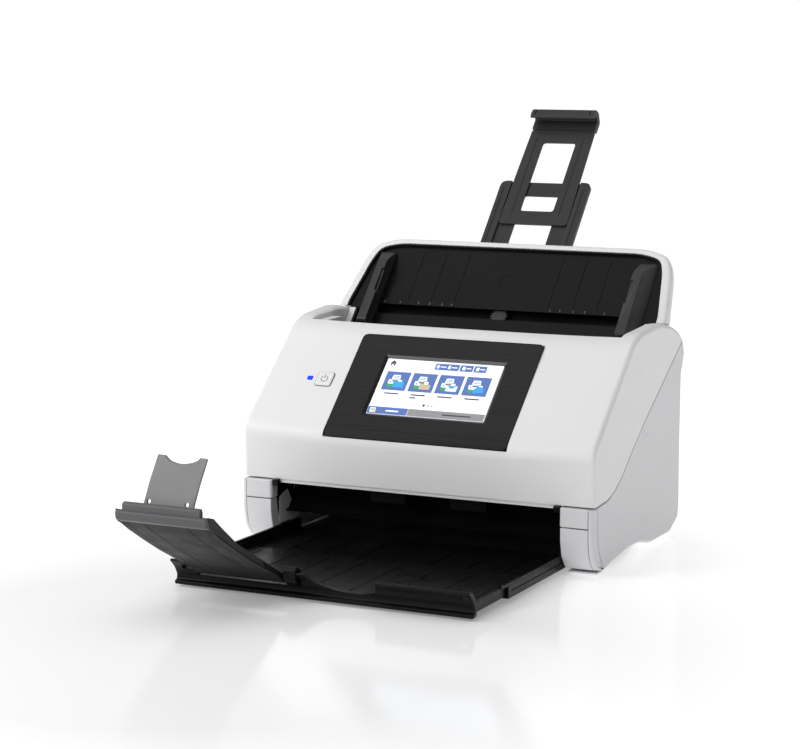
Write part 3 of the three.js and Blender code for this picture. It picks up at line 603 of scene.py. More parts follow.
def inked(name, look, shapes, level):
    """Flat raised shapes of one colour on the display."""
    outlines = [[(*on_screen(p[0], p[1]), *p[2:]) for p in shape] for shape in shapes]
    mesh = joined(prism(outline, -1.25, -1.2 + level, "z", in_panel) for outline in outlines)
    o = placed(name, mesh)
    mesh.materials.append(look)
    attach(o, "cover")


TILE_WIDTH = 20.5
TILES = [4.5 + 22.9 * i for i in range(4)]
INKS = {
    "blue": ((0.075, 0.15, 0.43), 0.25),
    "pale": ((0.82, 0.88, 0.97), 0.35),
    "dark": ((0.03, 0.035, 0.05), 0.1),
    "grey": ((0.28, 0.28, 0.29), 0.15),
    "sky": ((0.02, 0.33, 0.78), 0.35),
    "sand": ((0.52, 0.42, 0.28), 0.35),
    "green": ((0.02, 0.36, 0.05), 0.35),
    "gold": ((0.85, 0.55, 0.03), 0.35),
}


def display_tiles(ink):
    """The four large tiles, the buttons above them and the bar below."""
    blues = [rect(u, u + TILE_WIDTH, 13, 31.4, 0.8) for u in TILES]
    blues += [rect(u, u + w, 2.2, 8.4, 1.2) for u, w in ((42.8, 20.4), (64, 11), (75.8, 10.6))]
    blues.append(rect(0.5, 34.5, 48.2, 55, 0.8))
    inked("display_tiles", ink["blue"], blues, 0.04)
    inked("display_bar", ink["grey"], [rect(34.8, 99.2, 48.2, 55)], 0.03)


def display_icons(ink):
    """The pale scanner on each tile, and the pale shapes on the buttons."""
    pales = []
    for u in TILES:
        pales += [
            [(u + 6.4, 16.2), (u + 12.4, 16.2), (u + 13.2, 20.4), (u + 5.6, 20.4)],
            rect(u + 3.6, u + 15.2, 20.5, 25.2, 1.2),
        ]
    pales += [rect(44.2 + i * 3.2, 46.4 + i * 3.2, 3.6, 7, 0.5) for i in (0, 3)]
    pales += [rect(47.4, 52.2, 4.8, 5.8), rect(57, 61.6, 4.8, 5.8)]
    pales += [rect(66, 68.6, 3.6, 7, 0.5), rect(69.6, 73.4, 4.8, 5.8), rect(77.6, 80.2, 3.6, 7, 0.5)]
    pales += [rect(81.2, 85, 4.8, 5.8), rect(2.4, 7.2, 49.4, 53.8, 0.6), rect(16, 27, 51, 52.4, 0.6)]
    inked("display_icons", ink["pale"], pales, 0.06)


def display_pictures(ink):
    """The folder, cloud, envelope and screen that tell the tiles apart."""
    first, second, third, last = TILES
    cloud = [(8, 25.4), (12.6, 21.6), (17, 24), (17.4, 28), (8.4, 28.6)]
    skies = [rect(first + 8.2, first + 17.6, 22.6, 28.4, 0.5)]
    skies.append([(last + u, v, 2) for u, v in cloud])
    inked("display_sky_icons", ink["sky"], skies, 0.09)
    folder = [
        (8.4, 22.8, 0.5), (11.6, 22.8), (12.4, 23.8), (17.6, 23.8, 0.5), (17.6, 28.6, 0.5), (8.4, 28.6, 0.5),
    ]
    inked("display_folder", ink["sand"], [[(second + p[0], *p[1:]) for p in folder]], 0.09)
    inked("display_envelope", ink["pale"], [rect(third + 8.2, third + 17.6, 23, 28.6, 0.5)], 0.09)
    flap = [(third + 8.6, 23.3), (third + 17.2, 23.3), (third + 12.9, 26.4)]
    inked("display_envelope_flap", ink["sky"], [flap], 0.1)


def display_marks(ink):
    """The thin lines, arrows, dots and small marks."""
    lines = []
    for u in TILES:
        lines += [rect(u + 7.2, u + 11.8, 17.4, 17.9), rect(u + 7, u + 12, 18.9, 19.4)]
        lines += [rect(u + 3.4, u + 15.4, 20.5, 20.9), rect(u + 5, u + 6.2, 23, 24.2, 0.3)]
    lines += [rect(2.9, 6.7, 50.4, 50.9), rect(2.9, 6.7, 51.6, 52.1)]
    inked("display_blue_lines", ink["blue"], lines, 0.105)
    arrow = [(4.6, 25.2), (7.2, 25.2), (7.2, 26.2), (9, 26.2), (5.9, 29.2), (2.8, 26.2), (4.6, 26.2)]
    arrows = [[(u + x, y) for x, y in arrow] for u in TILES]
    inked("display_arrows", ink["green"], arrows, 0.11)
    home = [
        (3.6, 4.6), (6.4, 1.9), (9.2, 4.6), (8.3, 4.6), (8.3, 7.2), (7.1, 7.2), (7.1, 5.4),
        (5.7, 5.4), (5.7, 7.2), (4.5, 7.2), (4.5, 4.6),
    ]
    darks = [home, circle(45.9, 44, 1.15, 16)]
    darks += [rect(u + 4, u + 16.2, 34, 35.2, 0.4) for u in TILES]
    darks += [rect(TILES[1] + 4, TILES[1] + 9, 36.8, 38, 0.4), rect(64, 88, 51, 52.2, 0.4)]
    darks += [rect(u + 6.8, u + 11.8, 21.6, 22.8, 0.3) for u in TILES]
    inked("display_marks", ink["dark"], darks, 0.075)
    dots = [circle(u, 44, 0.75, 12) for u in (49.6, 52.9)]
    inked("display_dots", ink["grey"], dots, 0.05)
    star = []
    for i in range(10):
        radius = 2 if i % 2 == 0 else 0.9
        a = math.radians(36 * i - 90)
        star.append((6.6 + radius * math.cos(a), 53 + radius * math.sin(a)))
    inked("display_star", ink["gold"], [star], 0.09)


def touch_display():
    x0, x1, q0, q1 = (SCREEN[k] for k in ("left", "right", "low", "high"))
    glass = prism(rect(x0 + GAP, x1 - GAP, q0 + GAP, q1 - GAP, 0.6), -10, -1.2, "z", in_panel)
    piece("display_glass", glass, "touch_display", bevel=0.15)
    ink = {name: screen_ink("display_" + name, *values) for name, values in INKS.items()}
    for draw in (display_tiles, display_icons, display_pictures, display_marks):
        draw(ink)


def arc_band(centre, inner, outer, start, end, steps=24):
    """A flat ring open at the top, as an outline."""
    angles = [math.radians(start + (end - start) * i / steps) for i in range(steps + 1)]
    near, far = (
        [(centre[0] + r * math.cos(a), centre[1] + r * math.sin(a)) for a in angles] for r in (inner, outer)
    )
    return near + far[::-1]


def power_button():
    x, q = BUTTON["x"], BUTTON["q"]
    cap = soft_prism(key_outline(BUTTON, 0, 2), -9, 0.6, 0.5, "z", in_panel)
    piece("button_cap", cap, "power_button", bevel=0)
    seam = minus(
        prism(key_outline(BUTTON, 0.43, 2.3), -2, -0.1, "z", in_panel),
        prism(key_outline(BUTTON, 0.03, 2), -3, 1, "z", in_panel),
    )
    ink = moulded("symbol_grey", (0.14, 0.14, 0.145), 0.5, mottle=0.05)
    detail("button_seam", seam, "cover", ink, "white", 0)
    marks = prism(arc_band((x, q), 2.5, 3.1, 125, 415), 0.5, 0.68, "z", in_panel)
    bar = prism(rect(x - 0.3, x + 0.3, q + 0.6, q + 4), 0.5, 0.68, "z", in_panel)
    detail("button_symbol_ring", marks, "power_button", ink, "white", 0)
    detail("button_symbol_bar", bar, "power_button", ink, "white", 0)
    lens = soft_prism(key_outline(LAMP, 0, 0.8), -9, 0.1, 0.4, "z", in_panel)
    piece("lamp_lens", lens, "status_lamp", bevel=0)


# ---------------- body shells
SIDE_OUTLINE = [
    (21, 1.2), (12, 14, 5), (7.6, 28, 5), (5.6, 51.8), (27, 53.3, 5), (41, 58, 5), (55, 65.5, 5),
    (71.5, 78, 5), (102, 99.4), (193.3, 155.6), (196, 151.5), (199, 143, 4), (191.5, 128, 3),
    (190.5, 78), (191, 21), (189, 11, 4), (169, 1.6, 4), (124, 1.6, 6), (101, 7, 8), (76, 8, 8),
    (39, 4, 6),
]
SIDE_SHARES = [0.25] * 3 + [0.08] * 6 + [1] * 6 + [0.7] * 6
SHOULDER = [(150.8, 172.3), (166, 169.6, 4), (184, 162.6, 5), (192.2, 156.8), (150.8, 130.8)]


def side_covers():
    room = shrunk(SIDE_OUTLINE, WALL)
    tick = [(101.6, 96.4), (114.4, 89.6), (114.1, 89.1), (101.3, 95.9)]
    for name, sign in (("left_side_cover", -1), ("right_side_cover", 1)):
        edges = (4, 0) if sign < 0 else (0, 4)
        low, high = span(sign, 132, HALF)
        shell = swept(lambda x: SIDE_OUTLINE, rolled_stations(low, high, *edges), SIDE_SHARES)
        shell = minus(shell, prism(room, *span(sign, 130, CHEEK[1])))
        groove = prism(tick, *span(sign, HALF - 0.5, HALF + 1))
        piece(name + "_shell", minus(shell, groove), name, bevel=0.4, angle=40)


def shoulders():
    room = shrunk(SHOULDER[:4] + [(150.8, 100)], 5)
    for name, sign in (("left_rear_shoulder", -1), ("right_rear_shoulder", 1)):
        low, high = span(sign, THROAT + GAP, CHEEK[1] - GAP)
        stations = []
        for i in range(13):
            x = low + (high - low) * i / 12
            depth = SIDE_EDGE - min(SIDE_EDGE, HALF - abs(x))
            edge = SIDE_EDGE - math.sqrt(SIDE_EDGE ** 2 - depth ** 2)
            stations.append((x, edge + shoulder_dip(x) * 0.8))
        cap = swept(lambda x: SHOULDER, stations, [1, 1, 0.8, 0.05, 0.05])
        cap = minus(cap, prism(room, *span(sign, 136.7, 142.5)))
        piece(name + "_cap", cap, name, bevel=0.4, angle=36)


POST = [
    (-4.8, 36.6), (-4.6, 26, 4), (-1.5, 13, 5), (6, 4.5, 3), (14.6, 2.2), (18.4, 2.2),
    (10.6, 14, 5), (6, 28, 5), (4.6, 36.6),
]
POST_CAP = [(-4.8, 37.4, 0.8), (-4.8, 51.7, 0.8), (4.6, 51.7), (4.5, 37.4)]
POST_BEAD = [
    (-4.5, 51.5, 1), (-4.3, 26, 4), (-1.1, 13.4, 5), (6, 4.9, 3), (14.6, 2.6), (18, 2.6),
    (10.4, 14, 5), (5.8, 28, 5), (4.4, 51.5),
]
POST_SHARES = [1, 1, 1, 0.8, 0.2, 0.1, 0.1, 0.1, 0.15]
CAP_SHARES = [1, 0.15, 0.1, 0.15]


def post_solid(outline, shares, sign, inner, outer, roll_in, roll_out):
    """Part of a front post between two distances from the middle, with its ends rolled over."""
    rolls = (roll_out, roll_in) if sign < 0 else (roll_in, roll_out)
    return swept(lambda x: outline, rolled_stations(*span(sign, inner, outer), *rolls), shares)


def front_posts():
    pale = LOOK["white_side"]
    for side, sign in (("left", -1), ("right", 1)):
        post = post_solid(POST, POST_SHARES, sign, 122.2, 144.1, 0.8, 0.8)
        piece(side + "_post_block", post, side + "_front_post", bevel=0.3, angle=40)
        cap = post_solid(POST_CAP, CAP_SHARES, sign, 121.4, 144.1, 2.6, 0.8)
        piece(side + "_post_top", cap, side + "_post_cap", pale, 0.3, 40)
        bead = post_solid(POST_BEAD, POST_SHARES, sign, 144.5, HALF, 0.3, 2.6)
        detail(side + "_front_bead", bead, "base", pale, "white_side", 0.25, 40)
        toe = block(*span(sign, 124, 146.5), 8, 20.4, 0.9, 2.1)
        detail(side + "_toe", toe, "base", pale, "white_side", 0.4)
        pin = rod(PIN, *span(sign, 116, 121.6), HINGE, sides=24)
        detail(side + "_cover_pin", pin, "base", LOOK["black"], "black", 0.1)
        cheek = [(9, 15), (8.6, 36, 2), (21.5, 41, 1.5), (30.6, 27.4, 2), (40, 25.1), (40, 15)]
        wall = prism(cheek, *span(sign, 121.5, 122.5))
        detail(side + "_exit_cheek", wall, "base", pale, "white_side", 0.25)


# ---------------- input tray
def curved_band(points, thickness):
    """A bent sheet of even thickness that follows an open line, as an outline."""
    line = [Vector(p[:2]) for p in points]
    near, far = [], []
    for i, here in enumerate(line):
        before = (here - line[i - 1]).normalized() if i else (line[1] - here).normalized()
        after = (line[i + 1] - here).normalized() if i < len(line) - 1 else before
        middle = (before + after).normalized()
        reach = thickness / 2 / max(0.35, middle.dot(before))
        side = Vector((-middle.y, middle.x)) * reach
        near.append(tuple(here - side))
        far.append(tuple(here + side))
    return near + far[::-1]


def tray_shell():
    """The white input tray, with a rim that rolls over outwards."""
    wing = [(145, 12), (145, 22, 2), (137.8, 66, 7), (132, 83, 12), (112, 90, 12)]
    outer = mirrored([(133.5, -12), (133.5, 12), *wing])
    count = len(wing)
    shares = [0.05] * 2 + [1] * (2 * count - 1) + [0.05] * 3
    below = rolled_end(outer, -13, 2.4, shares, 6, in_feed, 8)
    above = rolled_end(outer, -1, -3.4, shares, 6, in_feed, 8)
    shell = skin(below + above[::-1])
    inner = mirrored([
        (128.4, -9.4), (128.4, 14.5), (137.4, 14.5), (137.4, 22, 2), (130.6, 64, 6), (126, 79, 8),
        (108, 84, 8),
    ])
    over_shoulders = ((148, 173.6), (166, 170.7), (185, 163.5), (200, 152), (200, 120), (148, 120))
    clear = [to_feed(*p) for p in over_shoulders]
    shell = minus(
        shell,
        prism(inner, -11.2, 5, "z", in_feed),
        block(-42.6, 44.6, 80, 95, -11.2, -6.9, in_feed),
        block(-126, 126, -13, -9.3, -14, 5, in_feed),
        prism(clear, 133.6, 150, "x", in_feed),
        prism(clear, -150, -133.6, "x", in_feed),
    )
    for x in range(-96, 97, 48):
        for s in (30, 40):
            shell = minus(shell, block(x - 16, x + 16, s, s + 1.4, -14, -12.4, in_feed))
    piece("tray_shell", shell, "input_tray_shell", bevel=0.5, angle=38)


def throat_fillers():
    """Black pieces behind and under the paper way, as painted shade where the pale inside would show."""
    tray = BODY_OF["input_tray_shell"]
    # Painted shade: the lip, the baffle and the underlay are black so that the throat reads dark.
    lip = [(-11.9, -12.8), (-9.36, -12.8), (-9.36, -3.7), (-10.2, -3.8, 0.5), (-11.9, -6.2, 1)]
    lip = prism(lip, -LIP_HALF, LIP_HALF, "x", in_feed)
    detail("paper_lip", lip, tray, LOOK["black"], "black", 0.2)
    shade_baffle = block(-LIP_HALF, LIP_HALF, -17, -9, -14.6, -13.2, in_feed)
    detail("throat_baffle", shade_baffle, tray, LOOK["black"], "black", 0.2)
    shade_underlay = block(-LINER_HALF, LINER_HALF, 0, 40, -11.15, -10.95, in_feed)
    detail("tray_underlay", shade_underlay, tray, LOOK["black"], "black", 0.1)


def tray_liner():
    """The dark pan of the input tray, with long lines and a round mark sunk in its floor."""
    liner = cad_mesh("input_tray_liner")
    for x in (-84, -63, -42, 42, 63, 84):
        line = rect(x - 0.7, x + 0.7, 27, 76, 0.6)
        liner = minus(liner, soft_prism(line, -3.9, -3.2, 0.1, "z", in_feed))
    liner = minus(
        liner,
        prism(circle(0, 48, 9, 40), -3.8, -3.2, "z", in_feed),
        block(-LINER_HALF, LINER_HALF, -13, -7, -3.5, 5, in_feed),
    )
    piece("tray_liner", liner, "input_tray_liner", bevel=0.45)


def paper_size_marks():
    """Plain paper width ticks beside the guide slot."""
    ink = moulded("tick_grey", (0.16, 0.16, 0.165), 0.5, mottle=0.05)
    places = [half * sign for half in (44, 52.5, 64, 74, 91, 105) for sign in (-1, 1)]
    ticks = joined(block(x - 0.25, x + 0.25, 23, 25.4, -3.55, -3.44, in_feed) for x in places)
    detail("paper_size_ticks", ticks, BODY_OF["input_tray_liner"], ink, "black", 0)


def edge_guides():
    """The CAD guides with grip grooves on top and shallow panels on their inner faces."""
    for side, sign in (("left", -1), ("right", 1)):
        name = side + "_edge_guide"
        guide = cad_mesh(name)
        for s in range(6, 23, 4):
            groove = rect(s, s + 1.4, 7.4, 12)
            guide = minus(guide, prism(groove, *span(sign, 118.6, 125), "x", in_feed))
        low, high = span(sign, 109.5, 110.5)
        for s0, s1 in ((0, 20), (30, 46)):
            guide = minus(guide, soft_prism(rect(s0, s1, 0.5, 5, 2), low, high, 0.1, "x", in_feed))
        piece(side + "_guide", guide, name, GUIDE_GREY, 0.5)


def extension():
    """The two sliding plates with a groove down each arm, and the clip with a notch near each end."""
    lower = cad_mesh("extension_plate_lower")
    upper = cad_mesh("extension_plate_upper")
    for x in (-35.4, 37.4):
        groove = rect(x - 1, x + 1, 62, 152, 0.9)
        lower = minus(lower, soft_prism(groove, -7.7, -7, 0.1, "z", in_feed))
    for x in (-20.4, 22.4):
        groove = rect(x - 0.8, x + 0.8, 124, 208, 0.7)
        upper = minus(upper, soft_prism(groove, -7.6, -7, 0.1, "z", in_feed))
    piece("extension_lower_plate", lower, "extension_plate_lower", bevel=0.4)
    piece("extension_upper_plate", upper, "extension_plate_upper", bevel=0.4)
    clip = cad_mesh("extension_end_clip")
    notch = [(221, 2), (232, -4), (236, 2), (226, 9)]
    for x in (-24, 26):
        clip = minus(clip, prism(notch, x - 0.35, x + 0.35, "x", in_feed))
    piece("end_clip", clip, "extension_end_clip", bevel=0.4)


# ---------------- output trays and arm
ARM = (-100, -27)
ARM_HINGE = (-156, 16)
FLAP = (-82, -43)
FLAP_HINGE = (-255, 80.2)
ARM_UNDER = [(-159, 13.8), (-166, 19.3), (-187, 29.4), (-205, 38.5), (-225, 49.5), (-248, 63), (-258, 70)]


def rear_tray():
    half, front, rear = 121.5, -99, 41
    rails = minus(
        block(-half, half, front, rear, 3.8, 13),
        block(-half + 1.9, half - 1.9, front - 1, rear + 1, 5.2, 14),
    )
    for sign in (-1, 1):
        low, high = span(sign, half - 0.6, half + 1)
        rails = minus(rails, block(low, high, front + 5, rear - 4, 8.3, 9.4))
        bar = [
            (-111, 13.3), (-106, 13.3), (-99, 12.6), (36, 12.6), (36, 14.4, 0.6), (-106, 14.8, 0.6),
            (-111, 16.4),
        ]
        rails = plus(rails, prism(bar, *span(sign, half - 2.2, half - 0.2)))
    for x in range(-90, 91, 30):
        groove = rect(x - 1.2, x + 1.2, front + 8, rear - 12, 1.1)
        rails = minus(rails, soft_prism(groove, 4.7, 5.6, 0.1, "z"))
    piece("rear_tray", rails, "output_tray_rear", bevel=0.4)


TRAY_LIP = [
    (-148, 5.5), (-149.5, 2.0, 1), (-155.4, 1.7, 0.8), (-155.6, 4.4, 0.8), (-152.8, 5.4, 1),
    (-152.2, 8.4, 3), (-155.8, 15, 4), (-162.3, 20.7, 1), (-161, 22, 1), (-154.4, 20.4, 3),
    (-150, 14, 4), (-147, 6.9),
]
FINGER_SCOOP = [
    (-15, 40), (-11, 21.4, 6), (-3, 14.6, 8), (12, 9.8, 10), (32, 9.2, 10), (44, 11.5, 5), (47, 22, 2),
    (48, 40),
]
HINGE_EAR = [
    (-150, 9), (-155, 10), (-162.4, 16, 2), (-163, 22.6, 3), (-159.5, 26, 3), (-154, 23, 4), (-149, 12, 2),
]


def front_tray():
    half = 119.2
    pan = block(-half, half, -151, -42, 5.5, 12.5)
    pan = minus(pan, block(-half + 1.8, half - 1.8, -152, -41, 6.9, 14))
    tray = plus(pan, soft_prism(TRAY_LIP, -half, half, 0.7, steps=4))
    arm_room = [(-158.6, 16.5), (-152, 13.5), (-148, 17), (-150, 26), (-158, 26)]
    tray = minus(
        tray,
        block(ARM[0] - 1.2, ARM[1] + 1.2, -175, -145, 10.2, 30),
        prism(FINGER_SCOOP, -175, -146.5, "y"),
        rod(PIN + GAP, -112, -15, ARM_HINGE),
        prism(arm_room, 109.5, 116.5),
    )
    ear_low, ear_high = -25.6, -15.4
    tray = plus(tray, soft_prism(HINGE_EAR, ear_low, ear_high, 0.8))
    tray = minus(tray, rod(PIN + GAP, ear_low - 1, ear_high + 1, ARM_HINGE))
    for x in range(-105, 106, 30):
        groove = rect(x - 1, x + 1, -140, -50, 0.9)
        tray = minus(tray, soft_prism(groove, 6.5, 7.4, 0.1, "z"))
    piece("front_tray", tray, "output_tray_front", bevel=0.45, angle=36)


ARM_TOP = [
    (-262, 79.4), (-255, 77.6, 2), (-244.6, 69.4, 4), (-223.4, 54, 6), (-190.3, 36.4, 8), (-166, 23.2, 4),
    (-158.5, 19.4),
]


def stacker_arm():
    under = [(y, z, 4 if 0 < i < 6 else 0) for i, (y, z) in enumerate(ARM_UNDER)]
    body = prism([*under, *ARM_TOP], *ARM, steps=4)
    channel = [(y + 1, z + 1.8) for y, z in ARM_UNDER[1:5]]
    channel += [(-246.4, 64.5), (-246.4, 95), (-220, 95), (-165, 40)]
    body = minus(body, prism(channel, ARM[0] + 3, ARM[1] - 3))
    fy, fz = FLAP_HINGE
    pocket = [(fy - 4, fz - 4.4), (fy + 12, fz - 4.4), (fy + 12, fz + 12), (fy - 4, fz + 12)]
    body = minus(body, prism(pocket, FLAP[0] - 0.5, FLAP[1] + 0.5))
    for x in (-94, -80, -46, -33):
        width = 0.35 if x in (-80, -46) else 0.25
        band = curved_band([(y + 0.2, z - 0.4) for y, z in ARM_UNDER[1:]], 1.6)
        body = minus(body, prism(band, x - width, x + width))
    ear = [
        (fy - 4, fz - 6), (fy + 4.4, fz - 6), (fy + 3.4, fz + 1.6, 2), (fy, fz + 3.2, 2),
        (fy - 4, fz + 2.6, 1),
    ]
    for x0, x1 in ((FLAP[0] - 4, FLAP[0] - 0.5), (FLAP[1] + 0.5, FLAP[1] + 4)):
        body = plus(body, prism(ear, x0, x1))
    body = plus(body, rod(3.6, *ARM, ARM_HINGE), rod(1, FLAP[0] - 2, FLAP[1] + 2, FLAP_HINGE, sides=24))
    body = minus(body, rod(PIN + GAP, ARM[0] - 2, ARM[1] + 2, ARM_HINGE))
    piece("arm_body", body, "stacker_arm", ARM_DARK, 0.35)


def arm_trims():
    """The bar at the arm's upper end, the pale rails along its sides and its end lip."""
    bar = [(-263.4, 76), (-264, 84, 1.8), (-260.4, 85.4, 1.4), (-259.3, 82), (-259.5, 78)]
    arm_body = BODY_OF["stacker_arm"]
    detail("arm_upper_bar", soft_prism(bar, -94, -32.4, 0.8), arm_body, LIP_GREY, "grey", 0.3)
    rail = [(-262, 79.6), (-259.5, 70.4)]
    rail += [(y + 0.6, z + 0.9) for y, z in reversed(ARM_UNDER[2:6])]
    rail += [p[:2] for p in reversed(ARM_TOP[1:5])]
    for x0, x1 in ((ARM[0] - 0.35, ARM[0] + 0.4), (ARM[1] - 0.4, ARM[1] + 0.35)):
        strip = prism(rail, x0, x1)
        detail("arm_rail_%d" % abs(round(x0)), strip, arm_body, ARM_GREY, "grey", 0.15)
    lip = [(-258.6, 70.2), (-264.6, 72.6, 1.4), (-265.7, 78.4, 2), (-262.8, 79.6, 1), (-261.2, 77.4)]
    piece("arm_lip", soft_prism(lip, -98.8, -27, 1), "arm_end_lip", LIP_GREY, 0.3)


def stopper_flap():
    fy, fz = FLAP_HINGE
    blade = curved_band([(fy, fz + 1), (-246, 97), (-234.5, 113.6)], 1.9)
    notch = [
        (-75.8, 130), (-75.6, 112.9, 1), (-71, 110.4, 3), (-62.3, 108.8, 5), (-53.5, 110.5, 3),
        (-48.8, 113, 1), (-48.6, 130),
    ]
    flap = plus(prism(blade, *FLAP), rod(2.4, *FLAP, FLAP_HINGE))
    flap = minus(
        flap,
        prism(notch, -270, -220, "y"),
        prism(circle(-78.4, 84.8, 1.6), -262, -246, "y"),
        prism(circle(-48.4, 84.8, 1.6), -262, -246, "y"),
        rod(1 + GAP, FLAP[0] - 1, FLAP[1] + 1, FLAP_HINGE),
    )
    piece("flap_blade", flap, "stopper_flap", FLAP_GREY, 0.25)


# ---------------- back and inner parts
def backwards(y, x, z):
    """A place for pieces turned about Y."""
    return spot(x, y, z)


def standing(z, x, y):
    """A place for pieces turned about Z."""
    return spot(x, y, z)


def back_screw(name, x, z, y):
    head = turned([(y - 1, 3.1), (y + 0.3, 3.1), (y + 0.8, 2.4)], (x, z), backwards, 28)
    for w, h in ((2, 0.35), (0.35, 2)):
        head = minus(head, block(x - w, x + w, y + 0.2, y + 2, z - h, z + h))
    detail(name, head, "base", LOOK["steel"], "steel", 0.1)


BACK_SCREWS = [(-50, 119, 190.7), (50, 119, 190.7), (-120, 30, 190.6), (120, 30, 190.6)]


def rear_side():
    """The back cover with screws, a blank label, ledges under the louvres and socket contacts."""
    refine("rear_cover", 0.3, join=False)
    for i, (x, z, y) in enumerate(BACK_SCREWS):
        back_screw("back_screw_%d" % i, x, z, y)
    paper = moulded("label_film", (0.5, 0.5, 0.51), 0.3, 400, mottle=0.03)
    label = prism(rect(8, 74, 44, 72, 2), 190.3, 190.85, "y")
    detail("blank_label", label, "base", paper, "white", 0.08)
    for x in (-100, 0, 100):
        seam = block(x - 24, x + 24, 190.35, 190.75, 84.6, 85.2)
        detail("vent_seam_%d" % (x + 100), seam, "base", LOOK["white_side"], "white", 0.1)
    tongue = moulded("socket_plastic", (0.6, 0.6, 0.58), 0.45, mottle=0.04)
    contact = brushed("gold_contacts", (0.75, 0.52, 0.2), 0.25, 1.0, (8, 500, 500))
    detail("usb_tongue", block(-69.6, -64.4, 177.8, 187, 25.4, 28.8), "base", tongue, "white", 0.2)
    starts = [(i, -39.2 + i * 1.13) for i in range(8)]
    contacts = joined(block(x, x + 0.5, 178.2, 188.4, 31.4 - 0.1 * i, 32.2) for i, x in starts)
    detail("network_contacts", contacts, "base", contact, "steel", 0)


def feet():
    for end, y in (("front", 36), ("rear", 140)):
        for side, x in (("left", -122), ("right", 122)):
            name = "%s_foot_%s" % (end, side)
            pad = turned([(0, 5.6), (0.15, 6.4), (0.6, 7), (1.7, 7)], (x, y), standing, 40)
            piece(name + "_pad", pad, name, bevel=0.1)


def ribbed(half, radius, core, ribs):
    """The profile of a tyre with fine ribs, from end to end."""
    points = [(-half, core), (-half, radius - 0.5), (-half + 0.5, radius)]
    step = (2 * half - 2) / ribs
    for i in range(1, ribs):
        x = -half + 1 + i * step
        low = radius - 0.45
        points += [(x - 0.35, radius), (x - 0.2, low), (x + 0.2, low), (x + 0.35, radius)]
    return points + [(half - 0.5, radius), (half, radius - 0.5), (half, core)]


def rollers():
    """Ribbed rubber tyres on the three driven shafts."""
    for name, x, s, half in (
        ("pickup_roller", 0, -40, 22), ("feed_roller", 0, -85, 22),
        ("eject_roller_left", -50, -150, 11), ("eject_roller_right", 50, -150, 11),
    ):
        centre = (s, SHAFT_DEPTH)
        ribs = 6 if half > 20 else 4
        profile = [(x + u, radius) for u, radius in ribbed(half, TYRE_RADIUS, CORE_RADIUS, ribs)]
        tyre = turned(profile, centre, in_feed, 40)
        tyre = minus(tyre, rod(CORE_RADIUS + 0.1, x - half - 1, x + half + 1, centre, in_feed, 32))
        piece(name + "_tyre", tyre, name, bevel=0.12)


CHIPS = [(-90, -62, 60, 88), (-40, -24, 66, 82), (-8, 10, 54, 64), (24, 44, 70, 92), (-92, -80, 30, 40)]
CAPACITORS = [(-52, 44), (-52, 56), (-14, 86), (16, 38), (56, 44), (56, 58)]


def board_parts():
    """Chips, capacitors and a connector row on the main board."""
    chip = moulded("chip_black", (0.02, 0.02, 0.021), 0.4, mottle=0.1)
    cans = brushed("capacitor_cans", (0.5, 0.5, 0.52), 0.3, 1.0)
    chips = joined(block(x0, x1, 169.9, 172, z0, z1) for x0, x1, z0, z1 in CHIPS)
    detail("board_chips", chips, "base", chip, "black", 0.15)
    profile = [(162, 3.4), (162.6, 4), (172, 4)]
    capacitors = joined(turned(profile, place, backwards, 20) for place in CAPACITORS)
    detail("board_capacitors", capacitors, "base", cans, "steel", 0)
    detail("board_connector", block(20, 60, 166, 172, 20, 27), "base", LOOK["white_side"], "white", 0.3)


def scan_light_bars():
    """The pale light guide beside each scan glass."""
    glow = moulded("light_guide", (0.7, 0.74, 0.76), 0.2, mottle=0.02)
    for name, body, n0, n1 in (("lower", "base", -3.9, -3.65), ("upper", "cover", 3.65, 3.9)):
        bar = block(-110, 110, -112.4, -110.4, n0, n1, in_feed)
        detail(name + "_light_bar", bar, body, glow, "white", 0.05)


front_cover()
control_panel()
touch_display()
power_button()
side_covers()
shoulders()
front_posts()
tray_shell()
throat_fillers()
tray_liner()
paper_size_marks()
edge_guides()
extension()
rear_tray()
front_tray()
stacker_arm()
arm_trims()
stopper_flap()
rear_side()
feet()
rollers()
board_parts()
scan_light_bars()
refine("guide_pinion", look=LOOK["grey"])
refine("arm_hinge_pin", look=LOOK["grey"])
for name in frame["nodes"]:
    if not frame["nodes"][name].hide_render:
        refine(name)


# ---------------- floor, light and camera
FLOOR_RADIUS = 14
FLOOR_LEVEL = -0.0002
SHADOW_MIDDLE = (-0.02, -0.3, 0)
SKY_STRENGTH = (0.24, 0.58)
BACKDROP_STRENGTH = 1.02
CAMERA_PLACE = (752, -1575, 403)
CAMERA_LENS = 104.67
CAMERA_DOWN = 8.47
CAMERA_TURN = 25.87


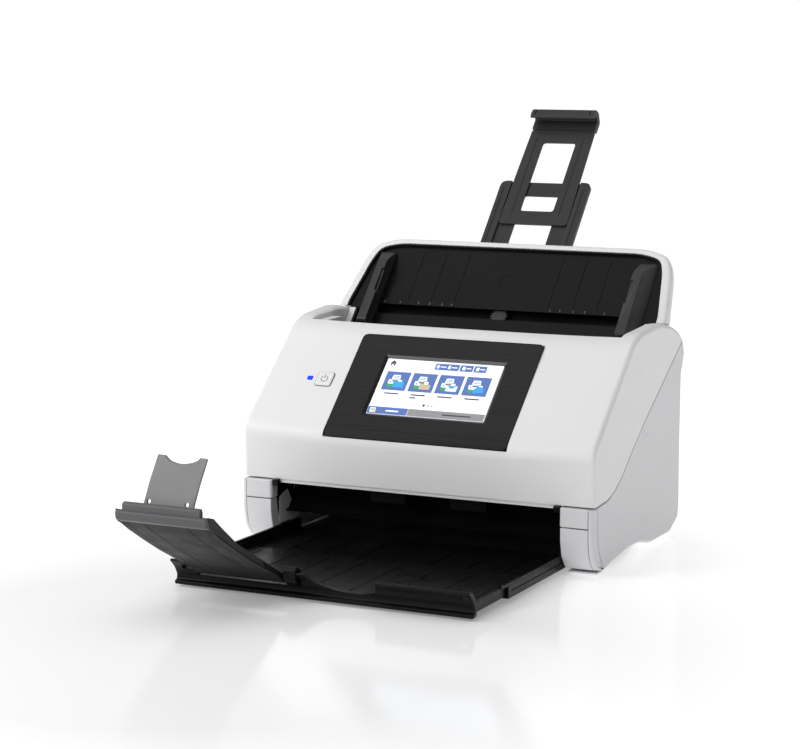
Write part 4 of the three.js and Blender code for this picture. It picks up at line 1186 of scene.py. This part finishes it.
def studio_floor():
    """A pale floor with a painted glow, weakest at the shadow in front of the scanner and growing away from
    it.
    """
    mat, tree, shader = new_material("pale_floor")
    tint = two_colours(tree, noise(tree, 2, 2), (0.88, 0.88, 0.885), (0.9, 0.9, 0.905))
    gloss = spread(tree, noise(tree, 3, 2), 0.1, 0.13)
    place = add(tree, "ShaderNodeTexCoord").outputs["Object"]
    distance = add(tree, "ShaderNodeVectorMath", operation="DISTANCE", Vector=place)
    distance.inputs[1].default_value = SHADOW_MIDDLE
    # Painted light: the floor's emission is 0.2 near the shadow in front of the scanner and rises to 0.7 far
    # from it.
    painted_glow = spread(tree, distance.outputs["Value"], 0.2, 0.7, 0.2, 0.6)
    fill(
        shader, Base_Color=tint, Roughness=gloss, Specular_IOR_Level=0.3,
        Emission_Color=(1, 1, 1, 1), Emission_Strength=painted_glow,
    )
    bm = bmesh.new()
    bm.faces.new([bm.verts.new((x, y, FLOOR_LEVEL)) for x, y in circle(0, 0, FLOOR_RADIUS, 64)])
    floor = placed("floor", to_mesh(bm, "floor"))
    floor.data.materials.append(mat)


def lamp(name, place, target, size, power):
    data = bpy.data.lights.new(name, "AREA")
    data.shape = "RECTANGLE"
    data.size, data.size_y = size
    data.energy = power
    o = placed(name, data)
    o.location = place
    o.rotation_euler = (Vector(target) - Vector(place)).to_track_quat("-Z", "Y").to_euler()


def studio():
    """A white backdrop, a sky that is brighter overhead, and a softbox close on the left."""
    world = bpy.data.worlds.new("studio")
    world.use_nodes = True
    tree = world.node_tree
    ray = add(tree, "ShaderNodeTexCoord").outputs["Generated"]
    height = add(tree, "ShaderNodeSeparateXYZ", Vector=ray)
    sky = spread(tree, height.outputs["Z"], *SKY_STRENGTH)
    seen = add(tree, "ShaderNodeLightPath").outputs["Is Camera Ray"]
    strength = add(tree, "ShaderNodeMix", data_type="FLOAT", Factor=seen)
    tree.links.new(sky, strength.inputs[2])
    strength.inputs[3].default_value = BACKDROP_STRENGTH
    fill(tree.nodes["Background"], Color=(1, 1, 1, 1), Strength=strength.outputs[0])
    scene = bpy.context.scene
    scene.world = world
    scene.view_settings.view_transform = "Standard"
    lamp("top_softbox", (-0.3, -0.2, 1.8), (0, 0, 0.1), (1.6, 1.4), 5)
    lamp("left_softbox", (-0.8, -0.75, 0.75), (0, 0, 0.12), (0.7, 0.7), 6.9)
    lamp("front_fill", (-0.3, -1.5, 0.4), (0, 0, 0.08), (1.0, 0.4), 2.6)


def camera():
    data = bpy.data.cameras.new("camera")
    data.sensor_width = 36
    data.lens = CAMERA_LENS
    o = placed("camera", data)
    o.location = spot(*CAMERA_PLACE)
    o.rotation_euler = (math.radians(90 - CAMERA_DOWN), 0, math.radians(CAMERA_TURN))
    bpy.context.scene.camera = o


studio_floor()
studio()
camera()
